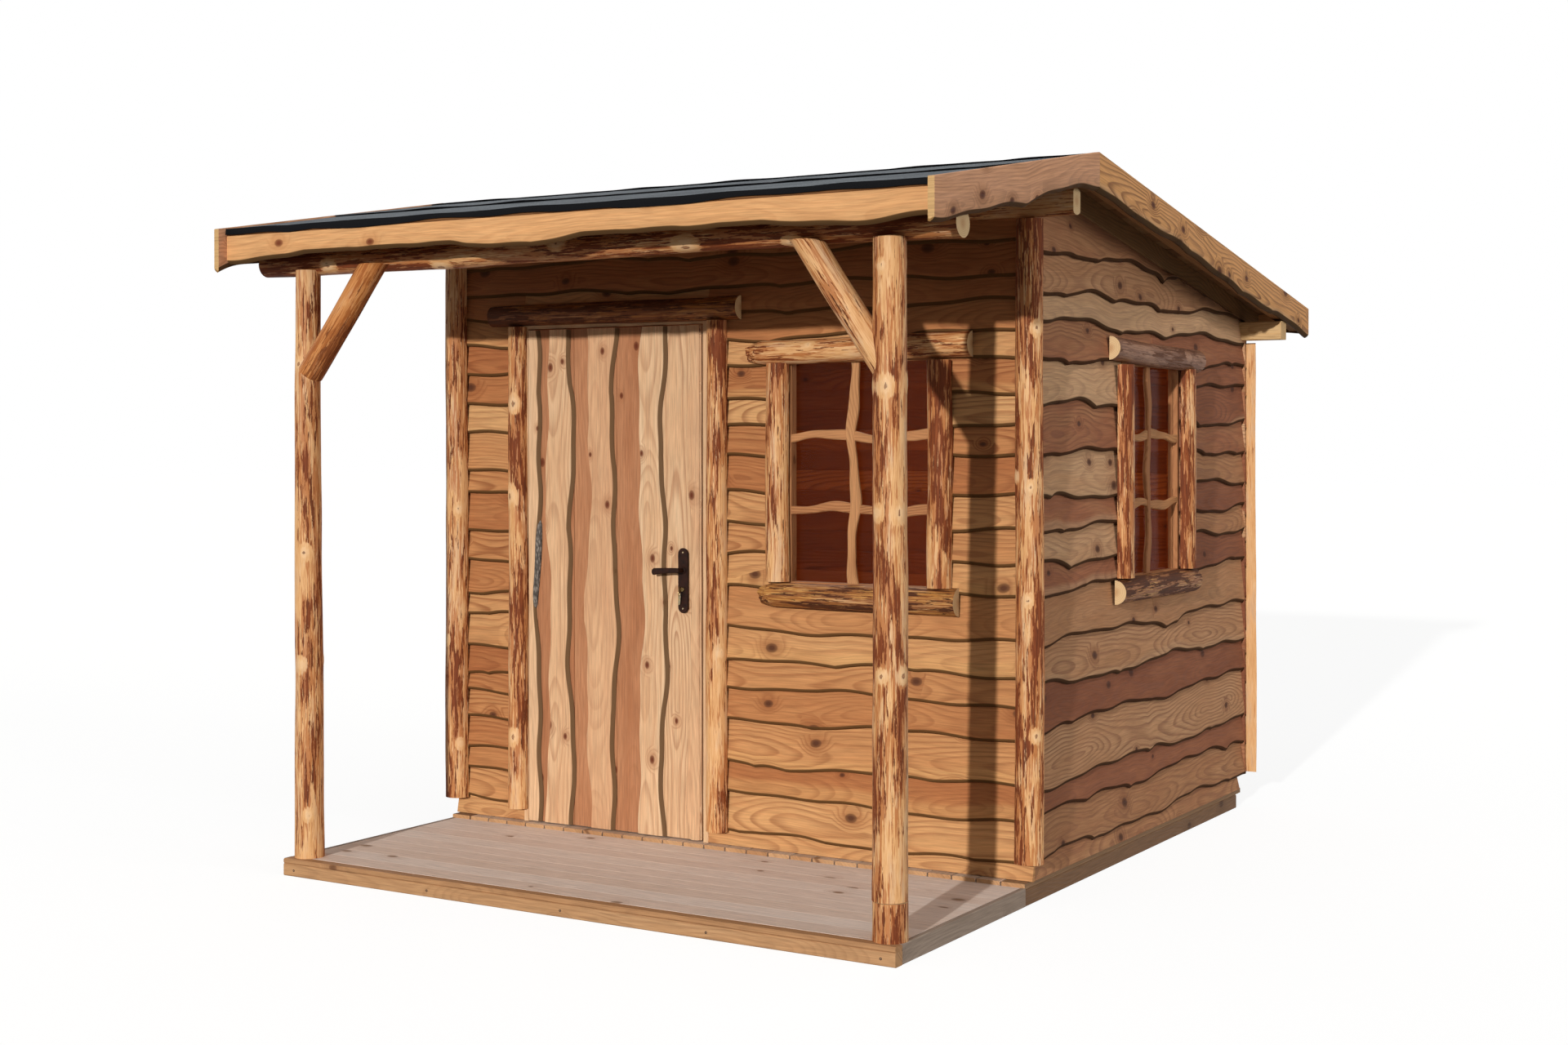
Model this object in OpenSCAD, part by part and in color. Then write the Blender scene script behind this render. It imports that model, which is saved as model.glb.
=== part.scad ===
// Rustic larch summerhouse: a closed cabin with a covered veranda in front.
// Millimetres, +Z up, the front faces -Y. The origin lies on the ground under the
// middle of the roof's outline.

/* [Veranda deck] */
// Width of the deck and of the cabin's base
deck_w = 2500; // [2200:10:2900]
// Depth of the veranda deck
deck_d = 925; // [800:5:1100]
// Thickness of the deck boards
deck_board_t = 18; // [14:1:26]
// Height of the deck's bearers
deck_bearer_h = 44; // [34:1:50]
// Width of the deck's bearers
deck_bearer_w = 45; // [35:1:60]
// Thickness of the boards that close the deck's ends
deck_side_t = 20; // [14:1:28]

/* [Cabin base] */
// How far the rear wall stands out past the cabin's base
base_setback = 50; // [10:1:60]
// How far the cabin floor runs out past its bearers at the rear
floor_run = 60; // [0:1:80]
// Height of the bearers under the cabin
bearer_h = 56; // [50:1:90]
// Width of the bearers under the cabin
bearer_w = 45; // [35:1:70]
// Number of bearers under the cabin
bearer_count = 5; // [3:2:7]
// Thickness of the cabin floor
floor_t = 20; // [16:1:28]

/* [Walls] */
// Outside depth of the cabin
cabin_d = 2212; // [2100:1:2300]
// Thickness of the walls, lapped boards and frame together
wall_t = 65; // [60:1:80]
// How far the side walls stand proud of the base
wall_proud = 7; // [0:1:20]
// How far the front wall stands behind the edge of the cabin floor
wall_setback = 39; // [20:1:60]

/* [Roof] */
// Pitch of both roof slopes in degrees
roof_pitch = 9.8; // [8:0.1:12]
// Height of the ridge at the top of the verge boards
ridge_h = 2540; // [2480:5:2650]
// How far the roof's front end stands out past the deck's front edge
front_overhang = 135; // [100:5:200]
// How far the roof's rear end stands out past the rear wall
rear_overhang = 251; // [200:1:320]
// How far the ridge lies behind the face of the front wall
ridge_setback = 121; // [100:1:160]
// How far the roof stands out past the base at each side
side_overhang = 200; // [150:5:260]
// Depth of the rafters, square to the slope
rafter_h = 78; // [60:1:90]
// Width of the rafters
rafter_w = 45; // [35:1:60]
// Thickness of the roof boards
roof_board_t = 20; // [16:1:26]
// Thickness of the bitumen felt
felt_t = 4; // [3:0.5:8]

/* [Roof edges] */
// Thickness of the verge and fascia boards
edge_board_t = 22; // [16:1:28]
// Height of the verge boards, square to the slope
verge_h = 123; // [110:1:150]
// How far the verge boards stand above the felt
verge_proud = 6; // [2:1:12]
// How far the verge boards run on past the fascia boards
verge_run_on = 40; // [20:1:60]
// Height of the fascia boards
fascia_h = 82; // [60:1:110]
// Depth of the waves along the live edges
wave_depth = 13; // [4:1:20]

/* [Purlins] */
// Diameter of the log purlin over the veranda
front_purlin_d = 90; // [80:1:110]
// Diameter of the log purlin on the front wall
ridge_purlin_d = 90; // [70:1:110]
// Width of that purlin, hewn flat in front and behind
ridge_purlin_w = 58; // [48:1:70]
// Depth of the squared purlin on the rear wall
rear_purlin_w = 70; // [66:1:90]
// Height of the squared purlin at its rear face
rear_purlin_h = 78; // [60:1:100]
// How far the veranda purlin lies behind the deck's front edge
front_purlin_inset = 101; // [80:1:120]

/* [Posts and braces] */
// Diameter of the left post at its foot and at its top
left_post_d = [106, 88]; // [86:1:112]
// Diameter of the right post at its foot and at its top
right_post_d = [110, 102]; // [86:1:112]
// How far the posts' middles stand in from the deck's ends
post_inset = 56; // [56:1:90]
// How far the posts' middles stand behind the deck's front edge
post_setback = 72; // [60:1:90]
// Diameter of a knee brace at its foot and at its head
brace_d = [92, 92]; // [60:1:96]
// Level reach of the left and right knee brace from the middle of its post
brace_reach = [326, 310]; // [240:1:340]
// How far the foot of the left and right knee brace stands to the side of the middle of its post
brace_foot = [45, 0]; // [0:1:50]
// How far the left and right knee brace lies in front of the middle of its post
brace_lap = [34, 0]; // [0:1:40]
// How far the braces' sawn tops stand up in front of the purlin
brace_top = 20; // [10:1:40]
// Height of a knee brace from its foot to the purlin's axis
brace_rise = [406, 442]; // [340:1:480]

/* [Corner logs] */
// Diameter of the half logs on the corners, at the foot and at the top
corner_log_d = [104, 96]; // [80:1:120]
// How far the corner logs' middles stand in from the cabin's corner
corner_log_inset = 8; // [0:1:20]
// Height of the corner logs' feet above the floor
corner_log_foot = 65; // [40:1:120]
// How far the corner logs stop short of the top of the wall
corner_log_drop = 10; // [5:1:40]

/* [Door] */
// Width of the door leaf
door_w = 807; // [720:1:860]
// Height of the wall over the door's opening
wall_over_door = 300; // [280:1:340]
// Place of the door's hinge edge, from the left end of the deck
door_x = 360; // [340:1:420]
// Thickness of the door's two layers of boards
door_t = 40; // [32:1:44]
// Free gap round the door leaf
door_gap = 5; // [5:1:9]
// Thickness of the door frame
door_frame_t = 22; // [18:1:30]
// Diameter of the half logs beside the door, at the foot and at the top
door_log_d = [88, 82]; // [70:1:96]
// Diameter of the half log over the door at its two ends
door_header_d = [82, 88]; // [70:1:100]
// How far the half log over the door runs past the opening at each side
door_header_run = 148; // [110:1:170]
// Height of the side logs' feet above the floor
door_log_foot = 48; // [20:1:80]
// Depth of the ledges behind the door's boards
ledge_t = 22; // [16:1:24]
// Height of each ledge
ledge_h = 100; // [80:1:130]

/* [Door hardware] */
// Height of the lever's spindle above the door's foot
lever_h = 1003; // [950:1:1050]
// Distance from the spindle to the door's free edge
backset = 75; // [60:1:90]
// Length of the lever
lever_len = 112; // [95:1:140]
// Width of the lock plates
plate_w = 44; // [36:1:50]
// Height of the lock plates
plate_h = 243; // [220:1:260]
// Thickness of the lock plates
plate_t = 3; // [2:0.5:5]
// Distance from the spindle down to the lock cylinder
lock_pitch = 72; // [55:1:92]
// Diameter of the hinge pins
hinge_pin_d = 10; // [8:1:14]
// Length of the hinge straps
strap_len = 420; // [300:5:520]
// Height of the hinge straps
strap_h = 34; // [28:1:44]
// Thickness of the hinge straps and plates
strap_t = 5; // [3:0.5:6]

/* [Windows] */
// Width of the wall from the door's opening to the front window
window_left_wall = 353; // [330:1:380]
// Width of the wall from the front window to the cabin's corner
window_right_wall = 393; // [370:1:420]
// Clear height between a window's sill and header logs
window_h = 790; // [700:5:820]
// Height of the front wall over a window
wall_over_window = 476; // [450:1:540]
// Middle of the side window behind the face of the front wall
side_window_y = 1129; // [1000:1:1250]
// Diameter of the half logs beside a window, at the foot and at the top
window_log_d = [94, 90]; // [80:1:104]
// Diameter of the half log over a window at its two ends
window_header_d = [86, 90]; // [76:1:100]
// How far the half log over a window runs past the opening at each side
window_header_run = 171; // [120:1:180]
// Diameter of the half log under a window at its two ends
window_sill_d = [90, 98]; // [80:1:110]
// How far the half log under a window runs past the opening at each side
window_sill_run = 118; // [100:1:150]
// How far the wall's cut-out runs behind the window logs
window_reveal = 20; // [12:1:30]
// Depth of the window frames
window_frame_t = 40; // [30:1:50]
// Thickness of the glass
glass_t = 4; // [3:0.5:6]

/* [Hidden] */
$fn = 48;

// Seat left between pieces that bear on each other
seat = 0.3;
// Overrun of every cut
over = 1;
// Half the width of the roof between the outer faces of the verge boards
roof_hw = deck_w / 2 + side_overhang;
// Half the width between the inner faces of the verge boards
roof_in_hw = roof_hw - edge_board_t;
// Half the outside width of the cabin
cabin_hw = deck_w / 2 + wall_proud;

// Places along Y
front_reach = ridge_setback + wall_setback + deck_d + front_overhang;
rear_reach = cabin_d - ridge_setback + rear_overhang;
front_end_y = -(front_reach + rear_reach) / 2;
ridge_y = front_end_y + front_reach;
rear_end_y = ridge_y + rear_reach;
wall_y = ridge_y - ridge_setback;
rear_wall_y = wall_y + cabin_d;
base_y = wall_y - wall_setback;
base_d = wall_setback + cabin_d - base_setback;
deck_y = base_y - deck_d;
fascia_y = front_end_y + verge_run_on;
rear_fascia_y = rear_end_y - verge_run_on;

// Places of the deck's bearers, as shares of its depth
deck_bearer_shares = [0, 0.5, 1];

// Heights
deck_top = deck_bearer_h + deck_board_t;
floor_top = bearer_h + floor_t;

// Depths of the roof's layers under the verge boards' top, square to the slope
felt_depth = verge_proud;
boards_depth = felt_depth + felt_t;
rafter_depth = boards_depth + roof_board_t;
purlin_depth = rafter_depth + rafter_h;

// A thickness square to the slope, measured plumb
function plumb(t) = t / cos(roof_pitch);
// Height of a roof layer over a place along Y
function roof_z(y, depth) = ridge_h - plumb(depth) - abs(y - ridge_y) * tan(roof_pitch);

// Purlins
front_purlin_y = deck_y + front_purlin_inset;
front_purlin_z = roof_z(front_purlin_y, purlin_depth) - plumb(front_purlin_d / 2 + seat);
ridge_purlin_y = wall_y + ridge_purlin_w / 2;
ridge_purlin_z = roof_z(ridge_purlin_y, purlin_depth) - plumb(ridge_purlin_d / 2 + seat);
rear_purlin_y = rear_wall_y - wall_t;
rear_purlin_z = roof_z(rear_purlin_y + rear_purlin_w, purlin_depth) - rear_purlin_h;
front_wall_top = ridge_purlin_z - ridge_purlin_d / 2 - seat;
rear_wall_top = rear_purlin_z;
// How far the log purlins stop short of the verge boards
purlin_end_gap = 4;
ridge_purlin_end_gap = 22;

// Rafters: one behind each verge, one on each side wall and three between
rafter_xs = [-roof_in_hw + rafter_w / 2, -cabin_hw + wall_t / 2, -cabin_hw / 2, 0,
             cabin_hw / 2, cabin_hw - wall_t / 2, roof_in_hw - rafter_w / 2];

// Live edges: two overlaid waves, sampled at a step
wave_long = 640;
wave_short = 250;
wave_step = 50;
wave_mix_shares = [0.6, 0.4];
function wave(s, phase) = wave_depth * (wave_mix_shares[0] * sin(360 * s / wave_long + phase)
    + wave_mix_shares[1] * sin(360 * s / wave_short + 2 * phase));
// Places from a to b in whole steps
function steps(a, b) = let(n = ceil(abs(b - a) / wave_step)) [for (i = [0:n]) a + (b - a) * i / n];

// Posts and braces
left_post_x = -deck_w / 2 + post_inset;
right_post_x = deck_w / 2 - post_inset;
post_y = deck_y + post_setback;
// How far the purlin is let into the posts
post_saddle = 14;
post_top = front_purlin_z - front_purlin_d / 2 + post_saddle;

// Door opening
hinge_edge_x = -deck_w / 2 + door_x;
lock_edge_x = hinge_edge_x + door_w;
opening_left = hinge_edge_x - door_gap - door_frame_t;
door_foot = floor_top + door_gap;
opening_top = front_wall_top - wall_over_door;
door_top = opening_top - door_frame_t - door_gap;
door_h = door_top - door_foot;
// The boards' face lies this far behind the wall's face
door_recess = 3;
door_y = wall_y + door_recess;
door_back_y = door_y + door_t;
ledge_back_y = door_back_y + ledge_t;
// How far the header log laps over the head of the door frame
header_lap = 12;
door_header_z = opening_top - header_lap + door_header_d[1] / 2;

// Ledges: their middles as shares of the door's height
ledge_shares = [0.1, 0.5, 0.9];
// Ledges stop short of the leaf's edges so that they clear the frame
ledge_inset = 30;

// Hinges: the strap lies on the ledge and the pin stands just inside the wall
inner_wall_y = wall_y + wall_t;
hinge_run = 0.1;
knuckle_d = hinge_pin_d + 2 * strap_t;
knuckle_h = 60;
knuckle_gap = 0.4;
hinge_end_h = 18;
hinge_plate_w = 46;
hinge_axis_x = hinge_edge_x - door_gap;
hinge_axis_y = max(inner_wall_y, ledge_back_y) + knuckle_d / 2 + seat;
// The leaf's outer corner swings wider than the leaf, so the lock side has more room
swing_r = norm([lock_edge_x - hinge_axis_x, hinge_axis_y - door_y]);
opening_right = hinge_axis_x + swing_r + door_gap + door_frame_t;
door_header_w = opening_right - opening_left + 2 * door_header_run;
// Height of the whole hinge, with its two fixed knuckles
hinge_h = knuckle_h + 2 * (knuckle_gap + hinge_end_h);

// Lever and lock
spindle_x = lock_edge_x - backset;
spindle_z = door_foot + lever_h;
spindle_d = 16;
spindle_run = 1;
lever_d = [15, 12];
lever_out = 46;
lever_neck_d = 20;
lever_run = 0.5;
cylinder_d = 17;
cylinder_out = 9;
// Share of the plate's height that lies above the spindle
plate_top_share = 0.34;

// Windows
side_window_mid_y = wall_y + side_window_y;
window_left_x = opening_right + window_left_wall;
window_right_x = cabin_hw - window_right_wall;
// Clear width between a window's side logs
window_w = window_right_x - window_left_x;
front_window_mid_x = (window_left_x + window_right_x) / 2;
window_z = front_wall_top - wall_over_window - window_h;
window_header_w = window_w + 2 * window_header_run;
window_sill_w = window_w + 2 * window_sill_run;
window_frame_back = (wall_t - window_frame_t) / 2;

// A box between two corners
module block(a, b) { translate(a) cube(b - a); }

// An outline drawn in Y and Z, run along X
module along_x(x0, x1) { translate([x0, 0, 0]) rotate([90, 0, 90]) linear_extrude(x1 - x0) children(); }

// An outline drawn in X and Z, run along Y
module along_y(y0, y1) { translate([0, y1, 0]) rotate([90, 0, 0]) linear_extrude(y1 - y0) children(); }

// A tapered log that stands on its end
module log(d, len) { cylinder(d1 = d[0], d2 = d[1], h = len); }

// A log split in half along its heart: the flat side lies in the XZ plane, the round side faces -Y
module half_log(d, len) {
    r = max(d[0], d[1]);
    intersection() {
        log(d, len);
        block([-r, -r, -over], [r, 0, len + over]);
    }
}

// A half log that lies along X, centred
module half_log_across(d, len) { translate([-len / 2, 0, 0]) rotate([0, 90, 0]) half_log(d, len); }

// A layer of one roof slope between two depths, with plumb ends
module slope(y0, y1, depth0, depth1, x0, x1) {
    along_x(x0, x1) polygon([[y0, roof_z(y0, depth0)], [y1, roof_z(y1, depth0)],
                             [y1, roof_z(y1, depth1)], [y0, roof_z(y0, depth1)]]);
}

// Cut-out of a window, through the XZ plane, from the middle of its foot
module window_cut() {
    block([-window_w / 2 - window_reveal, -over, -window_reveal],
          [window_w / 2 + window_reveal, wall_t + over, window_h + window_reveal]);
}

// Half logs at both sides of a window
module window_jambs() {
    for (side = [-1, 1])
        translate([side * (window_w + max(window_log_d)) / 2, 0, seat])
            half_log(window_log_d, window_h - 2 * seat);
}

// Half log over a window
module window_header() {
    translate([0, 0, window_h + max(window_header_d) / 2]) half_log_across(window_header_d, window_header_w);
}

// Half log under a window
module window_sill() {
    translate([0, 0, -max(window_sill_d) / 2]) half_log_across(window_sill_d, window_sill_w);
}

// Wooden frame in the cut-out of a window
module window_ring() {
    reveal = window_reveal - seat;
    difference() {
        block([-window_w / 2 - reveal, window_frame_back, -reveal],
              [window_w / 2 + reveal, window_frame_back + window_frame_t, window_h + reveal]);
        block([-window_w / 2, 0, 0], [window_w / 2, wall_t, window_h]);
    }
}

// Sheet of glass in the middle of a window frame
module window_pane() {
    block([-window_w / 2 + seat, (wall_t - glass_t) / 2, seat],
          [window_w / 2 - seat, (wall_t + glass_t) / 2, window_h - seat]);
}

module at_front_window() { translate([front_window_mid_x, wall_y, window_z]) children(); }
module at_side_window() { translate([cabin_hw, side_window_mid_y, window_z]) rotate([0, 0, 90]) children(); }

// Veranda deck
module deck_bearers() {
    color("#9c8468") for (share = deck_bearer_shares) {
        y = deck_y + share * (deck_d - deck_bearer_w);
        inset = share == 0 ? 0 : deck_side_t;
        block([-deck_w / 2 + inset, y, 0], [deck_w / 2 - inset, y + deck_bearer_w, deck_bearer_h]);
    }
}

module deck_boards() {
    color("#b9a08a") {
        block([-deck_w / 2, deck_y, deck_bearer_h], [deck_w / 2, deck_y + deck_bearer_w, deck_top]);
        block([-deck_w / 2 + deck_side_t, deck_y + deck_bearer_w, deck_bearer_h],
              [deck_w / 2 - deck_side_t, base_y, deck_top]);
    }
}

module deck_side_boards() {
    color("#a8947f") for (side = [-1, 1]) {
        x = side * (deck_w - deck_side_t) / 2;
        block([x - deck_side_t / 2, deck_y + deck_bearer_w, 0], [x + deck_side_t / 2, base_y, deck_top]);
    }
}

// Cabin base
module cabin_bearers() {
    color("#8c6a48") for (i = [0:bearer_count - 1]) {
        x = -deck_w / 2 + i * (deck_w - bearer_w) / (bearer_count - 1);
        block([x, base_y, 0], [x + bearer_w, base_y + base_d - floor_run, bearer_h]);
    }
}

module cabin_floor() {
    color("#b58f66") block([-deck_w / 2, base_y, bearer_h], [deck_w / 2, base_y + base_d, floor_top]);
}

// Walls
module front_wall_left() {
    color("#b8794c") block([-cabin_hw, wall_y, floor_top], [opening_left, inner_wall_y, front_wall_top]);
}

module front_wall_over_door() {
    color("#b8794c") block([opening_left, wall_y, opening_top],
                           [opening_right, inner_wall_y, front_wall_top]);
}

module front_wall_right() {
    color("#b8794c") difference() {
        block([opening_right, wall_y, floor_top], [cabin_hw, inner_wall_y, front_wall_top]);
        at_front_window() window_cut();
    }
}

// Section of a log hewn flat in front and behind
module hewn_round(d, w) {
    intersection() {
        circle(d = d);
        square([w, d], center = true);
    }
}

// Side wall that rises to the rafters, notched for the purlin on the front wall
module side_wall() {
    y1 = rear_wall_y - wall_t;
    notch_d = ridge_purlin_d + 2 * seat;
    notch_w = ridge_purlin_w + 2 * seat;
    along_x(0, wall_t) difference() {
        polygon([[inner_wall_y, floor_top], [y1, floor_top], [y1, roof_z(y1, purlin_depth)],
                 [ridge_y, roof_z(ridge_y, purlin_depth)],
                 [inner_wall_y, roof_z(inner_wall_y, purlin_depth)]]);
        translate([ridge_purlin_y, ridge_purlin_z]) {
            hewn_round(notch_d, notch_w);
            translate([-notch_w / 2, 0]) square([notch_w, ridge_purlin_d]);
        }
    }
}

module left_wall() { color("#a56f48") translate([-cabin_hw, 0, 0]) side_wall(); }

module right_wall() {
    color("#8c6b50") difference() {
        translate([cabin_hw - wall_t, 0, 0]) side_wall();
        at_side_window() window_cut();
    }
}

module rear_wall() {
    color("#a56f48") block([-cabin_hw, rear_wall_y - wall_t, floor_top],
                           [cabin_hw, rear_wall_y, rear_wall_top]);
}

// Half logs on the corners
module corner_pair(top) {
    foot = floor_top + corner_log_foot;
    for (side = [-1, 1])
        translate([side * (cabin_hw - corner_log_inset), 0, foot])
            half_log(corner_log_d, top - corner_log_drop - foot);
}

module front_corner_logs() { color("#c9924f") translate([0, wall_y, 0]) corner_pair(front_wall_top); }

module rear_corner_logs() {
    color("#c9924f") translate([0, rear_wall_y, 0]) mirror([0, 1, 0]) corner_pair(rear_wall_top);
}

// Door frame and the half logs round the door
module door_frame() {
    color("#c79a68") along_y(wall_y, inner_wall_y) difference() {
        translate([opening_left, floor_top]) square([opening_right - opening_left, opening_top - floor_top]);
        translate([opening_left + door_frame_t, floor_top - over])
            square([opening_right - opening_left - 2 * door_frame_t, door_h + 2 * door_gap + over]);
    }
}

module door_jamb_logs() {
    foot = floor_top + door_log_foot;
    top = door_header_z - max(door_header_d) / 2;
    color("#c9924f") for (side = [-1, 1]) {
        edge = side < 0 ? opening_left + door_frame_t : opening_right;
        x = edge + side * max(door_log_d) / 2;
        translate([x, wall_y, foot]) half_log(door_log_d, top - seat - foot);
    }
}

module door_header_log() {
    color("#a8662f") translate([(opening_left + opening_right) / 2, wall_y, door_header_z])
        half_log_across(door_header_d, door_header_w);
}

// Windows
module front_window_jamb_logs() { color("#c9924f") at_front_window() window_jambs(); }
module front_window_header_log() { color("#c08a4e") at_front_window() window_header(); }
module front_window_sill_log() { color("#b07a42") at_front_window() window_sill(); }
module front_window_frame() { color("#b58a5a") at_front_window() window_ring(); }
module front_window_glass() { color("#6f3a26", 0.4) at_front_window() window_pane(); }
module side_window_jamb_logs() { color("#b8824a") at_side_window() window_jambs(); }
module side_window_header_log() { color("#a97848") at_side_window() window_header(); }
module side_window_sill_log() { color("#a97040") at_side_window() window_sill(); }
module side_window_frame() { color("#a57c52") at_side_window() window_ring(); }
module side_window_glass() { color("#6f3a26", 0.4) at_side_window() window_pane(); }

// Veranda posts, saddled for the purlin
module post(x, d) {
    difference() {
        translate([x, post_y, deck_top]) log(d, post_top - deck_top);
        translate([x - d[0], front_purlin_y, front_purlin_z]) rotate([0, 90, 0])
            cylinder(d = front_purlin_d + 2 * seat, h = 2 * d[0]);
    }
}

module left_post() { color("#cf9a5a") post(left_post_x, left_post_d); }
module right_post() { color("#d3a263") post(right_post_x, right_post_d); }

// Knee brace from a post up to the purlin, coped to both round faces
module brace(i, x, side, post_d) {
    len = norm([brace_reach[i], brace_rise[i]]) + brace_d[1] / 2;
    brace_head = front_purlin_z - front_purlin_d / 2 + brace_top;
    lean = side * atan(brace_reach[i] / brace_rise[i]);
    difference() {
        translate([x + side * brace_foot[i], post_y - brace_lap[i], front_purlin_z - brace_rise[i]])
            rotate([0, lean, 0]) log(brace_d, len);
        translate([x, post_y, deck_top])
            log([post_d[0] + 2 * seat, post_d[1] + 2 * seat], post_top - deck_top);
        translate([-roof_hw, front_purlin_y, front_purlin_z]) rotate([0, 90, 0])
            cylinder(d = front_purlin_d + 2 * seat, h = 2 * roof_hw);
        block([-roof_hw, front_end_y, brace_head], [roof_hw, wall_y, ridge_h]);
    }
}

module left_brace() { color("#c08a4c") brace(0, left_post_x, 1, left_post_d); }
module right_brace() { color("#d3a263") brace(1, right_post_x, -1, right_post_d); }

// Purlins
module front_purlin() {
    len = 2 * (roof_in_hw - purlin_end_gap);
    color("#b9853f") translate([-len / 2, front_purlin_y, front_purlin_z]) rotate([0, 90, 0])
        cylinder(d = front_purlin_d, h = len);
}

module ridge_purlin() {
    len = 2 * (roof_in_hw - ridge_purlin_end_gap);
    color("#b9853f") along_x(-len / 2, len / 2) translate([ridge_purlin_y, ridge_purlin_z])
        hewn_round(ridge_purlin_d, ridge_purlin_w);
}

module rear_purlin() {
    y1 = rear_purlin_y + rear_purlin_w;
    color("#d2ab78") along_x(-roof_in_hw, roof_in_hw)
        polygon([[rear_purlin_y, rear_purlin_z], [y1, rear_purlin_z],
                 [y1, roof_z(y1, purlin_depth)], [rear_purlin_y, roof_z(rear_purlin_y, purlin_depth)]]);
}

// Roof
module rafters(y0, y1) {
    for (x = rafter_xs) slope(y0, y1, rafter_depth, purlin_depth, x - rafter_w / 2, x + rafter_w / 2);
}

module front_rafters() { color("#a97a4c") rafters(fascia_y + edge_board_t, ridge_y); }
module rear_rafters() { color("#a97a4c") rafters(ridge_y, rear_fascia_y - edge_board_t); }

module front_roof_boards() {
    color("#b08452") slope(fascia_y, ridge_y, boards_depth, rafter_depth, -roof_in_hw, roof_in_hw);
}

module rear_roof_boards() {
    color("#b08452") slope(ridge_y, rear_fascia_y, boards_depth, rafter_depth, -roof_in_hw, roof_in_hw);
}

// The felt hangs this far over the fascia boards
felt_drip = 8;

module front_felt() {
    color("#59646d") slope(fascia_y - felt_drip, ridge_y, felt_depth, boards_depth,
                           -roof_in_hw, roof_in_hw);
}

module rear_felt() {
    color("#59646d") slope(ridge_y, rear_fascia_y + felt_drip, felt_depth, boards_depth,
                           -roof_in_hw, roof_in_hw);
}

// Verge board of one slope, with a live lower edge
module verge(y0, y1, phase) {
    polygon(concat([[y0, roof_z(y0, 0)], [y1, roof_z(y1, 0)]],
                   [for (y = steps(y1, y0)) [y, roof_z(y, verge_h) - wave(y - ridge_y, phase)]]));
}

// Both verge boards of one end, met by a plumb joint at the ridge
module verge_pair(x, phase) {
    along_x(x, x + edge_board_t) {
        verge(front_end_y, ridge_y - seat, phase);
        verge(ridge_y + seat, rear_end_y, 2 * phase);
    }
}

module left_verge_boards() { color("#d0a064") verge_pair(-roof_hw, 140); }
module right_verge_boards() { color("#d6a868") verge_pair(roof_in_hw, 75); }

// Fascia board under the roof boards, with a live lower edge
module fascia(y, face_y, phase) {
    top = roof_z(face_y, rafter_depth);
    along_y(y, y + edge_board_t)
        polygon(concat([[-roof_in_hw, top], [roof_in_hw, top]],
                       [for (x = steps(roof_in_hw, -roof_in_hw)) [x, top - fascia_h - wave(x, phase)]]));
}

module front_fascia() { color("#d9a566") fascia(fascia_y, fascia_y, 30); }

module rear_fascia() {
    color("#c9985c") fascia(rear_fascia_y - edge_board_t, rear_fascia_y, 110);
}

// Heights of the two hinges, on the lowest and the highest ledge
hinge_zs = [for (share = [ledge_shares[0], ledge_shares[2]]) door_foot + share * door_h];

// Fixed half of the hinges: plate on the wall, two knuckles and the pin
module door_hinge_plates() {
    color("#3a3230") for (z = hinge_zs) translate([hinge_axis_x, hinge_axis_y, z - hinge_h / 2]) {
        cylinder(d = hinge_pin_d, h = hinge_h);
        for (foot = [0, hinge_h - hinge_end_h]) translate([0, 0, foot]) {
            cylinder(d = knuckle_d, h = hinge_end_h);
            block([-hinge_plate_w, -knuckle_d / 2, 0], [0, -knuckle_d / 2 + strap_t, hinge_end_h]);
        }
        block([-hinge_plate_w, -knuckle_d / 2, 0],
              [-knuckle_d / 2 - strap_t, -knuckle_d / 2 + strap_t, hinge_h]);
    }
}

// Door leaf, drilled for the lever's spindle
module door_boards() {
    color("#d3aa7b") difference() {
        block([hinge_edge_x, door_y, door_foot], [lock_edge_x, door_back_y, door_top]);
        translate([spindle_x, door_y - over, spindle_z]) rotate([-90, 0, 0])
            cylinder(d = spindle_d + 2 * spindle_run, h = door_t + 2 * over);
    }
}

// Ledges across the back of the leaf
module door_ledges() {
    color("#c79c6a") for (share = ledge_shares) {
        z = door_foot + share * door_h;
        right = abs(z - spindle_z) < plate_h ? spindle_x - plate_w : lock_edge_x - ledge_inset;
        block([hinge_edge_x + ledge_inset, door_back_y, z - ledge_h / 2],
              [right, ledge_back_y, z + ledge_h / 2]);
    }
}

// Moving half of the hinges: strap on the ledge with a bored knuckle
module door_hinge_straps() {
    strap_y = ledge_back_y - hinge_axis_y;
    strap_back_y = strap_t - knuckle_d / 2;
    color("#3a3230") for (z = hinge_zs) translate([hinge_axis_x, hinge_axis_y, z - knuckle_h / 2])
        difference() {
            union() {
                cylinder(d = knuckle_d, h = knuckle_h);
                block([0, -knuckle_d / 2, 0], [ledge_inset, strap_back_y, knuckle_h]);
                block([0, strap_y, (knuckle_h - strap_h) / 2],
                      [strap_len, strap_back_y, (knuckle_h + strap_h) / 2]);
            }
            translate([0, 0, -over]) cylinder(d = hinge_pin_d + 2 * hinge_run, h = knuckle_h + 2 * over);
        }
}

// Lock plate with round ends and a lock cylinder, its back in the XZ plane
module lock_plate() {
    r = plate_w / 2;
    top = plate_h * plate_top_share;
    rotate([90, 0, 0]) {
        linear_extrude(plate_t) difference() {
            union() {
                translate([-r, top - plate_h + r]) square([plate_w, plate_h - plate_w]);
                for (z = [top - r, top - plate_h + r]) translate([0, z]) circle(r = r);
            }
            circle(d = spindle_d + 2 * spindle_run);
        }
        translate([0, -lock_pitch, plate_t]) cylinder(d = cylinder_d, h = cylinder_out);
    }
}

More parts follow.
